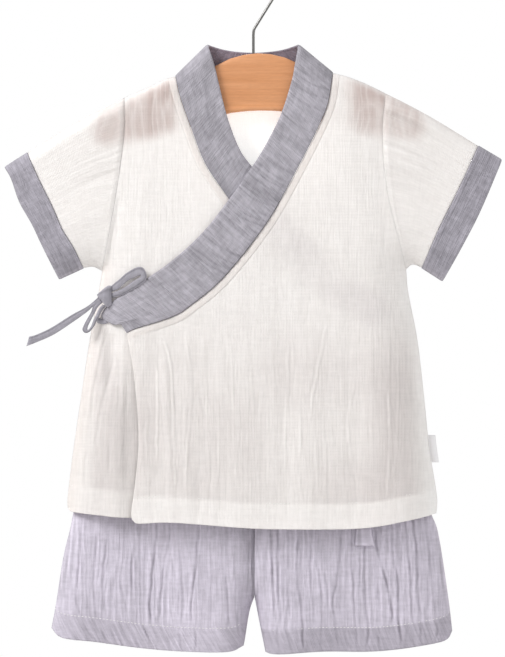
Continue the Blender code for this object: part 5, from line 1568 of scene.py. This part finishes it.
def cut_area(*curves):
    """Area inside a closed run of curves, in square metres."""
    loop = np.concatenate([np.reshape(c, (-1, 2)) for c in curves])
    x, z = loop[:, 0], loop[:, 1]
    return abs(np.dot(x, np.roll(z, 1)) - np.dot(z, np.roll(x, 1))) / 2 * MM * MM


t = np.linspace(0, 1, 80)
cuts = {
    "gauze_back": ((0.325, 0.385), cut_area(NECK_EDGE.at(t), RIGHT_EDGE.at(t), hems["back"].at(t)[::-1],
                                            LEFT_EDGE.at(t)[::-1])),
    "gauze_front_over": ((0.270, 0.396), cut_area(Line(SHOULDER_RIGHT[::-1]).at(t), RIGHT_EDGE.at(t),
                                                  hems["over"].at(t)[::-1], OVER_EDGE.at(t)[::-1])),
    "gauze_front_under": ((0.268, 0.388), cut_area(Line(SHOULDER_LEFT).at(t), UNDER_EDGE.at(t),
                                                   hems["under"].at(t)[::-1], LEFT_EDGE.at(t)[::-1])),
}
for name, (size, area) in cuts.items():
    print(name, "cut", size, "area", round(area, 4))
for which, (armhole, seam, high, low, end) in SIDES.items():
    sleeve_area = 2 * cut_area(Line(high[::-1]).at(t), Line(seam).at(t), Line(low).at(t),
                               Line(armhole).at(t)[::-1])
    cuff_area = 2 * cut_area(Line(seam).at(t), Line(end).at(t)[::-1])
    print("sleeve", which, "area", round(sleeve_area, 4), "cuff area", round(cuff_area, 4))

# %% [markdown]
# ## Light and floor
# Soft daylight from a white room, a large lamp from the upper left that draws the creases, and a
# weaker one from the right. A wide lamp behind stands for the lit white wall of the studio and
# shows the back as well as the front. The set hangs, so the floor lies well below it.

# %% Light
world = bpy.data.worlds.new("white_room")
world.use_nodes = True
bpy.context.scene.world = world
tree = world.node_tree
tree.nodes.clear()
room = add(tree, "Background", {"Color": (1.0, 1.0, 1.0, 1.0), "Strength": 0.64})
backdrop = add(tree, "Background", {"Color": (1.0, 1.0, 1.0, 1.0), "Strength": 1.0})
seen = add(tree, "LightPath")
mixed = add(tree, "MixShader", {0: seen.outputs["Is Camera Ray"], 1: room.outputs[0], 2: backdrop.outputs[0]})
add(tree, "OutputWorld", {"Surface": mixed.outputs[0]})
bpy.context.scene.view_settings.view_transform = "Standard"
GARMENT_MIDDLE = Vector((0.0, 0.0, -0.31))


def lamp(name, azimuth, elevation, distance_m, size, power, seen=True):
    """Square lamp on a sphere round the garment's middle, turned towards it."""
    data = bpy.data.lights.new(name, "AREA")
    data.size = size
    data.energy = power
    obj = bpy.data.objects.new(name, data)
    a, e = math.radians(azimuth), math.radians(elevation)
    away = Vector((math.sin(a) * math.cos(e), -math.cos(a) * math.cos(e), math.sin(e)))
    obj.location = GARMENT_MIDDLE + distance_m * away
    obj.rotation_euler = (GARMENT_MIDDLE - obj.location).to_track_quat("-Z", "Y").to_euler()
    obj.visible_camera = seen
    bpy.context.scene.collection.objects.link(obj)


lamp("key", -58.0, 38.0, 2.2, 0.9, 34.0)
lamp("fill", 62.0, 12.0, 2.4, 1.2, 8.0)
lamp("white_wall", 180.0, 8.0, 2.4, 1.5, 22.0, seen=False)

# %% Floor
FLOOR_Z = -1.25
FLOOR_REACH = 3.0
bm = bmesh.new()
bmesh.ops.create_grid(bm, x_segments=2, y_segments=2, size=FLOOR_REACH)
bmesh.ops.translate(bm, verts=bm.verts, vec=(0.0, 0.0, FLOOR_Z))
mesh = bpy.data.meshes.new("floor")
bm.to_mesh(mesh)
bm.free()
# Matt pale paint of the studio floor
floor_paint, _, shader = new_material("pale_floor_paint")
shader.inputs["Base Color"].default_value = (*linear("#F2F1EF"), 1.0)
shader.inputs["Roughness"].default_value = 0.8
mesh.materials.append(floor_paint)
floor = bpy.data.objects.new("floor", mesh)
bpy.context.scene.collection.objects.link(floor)
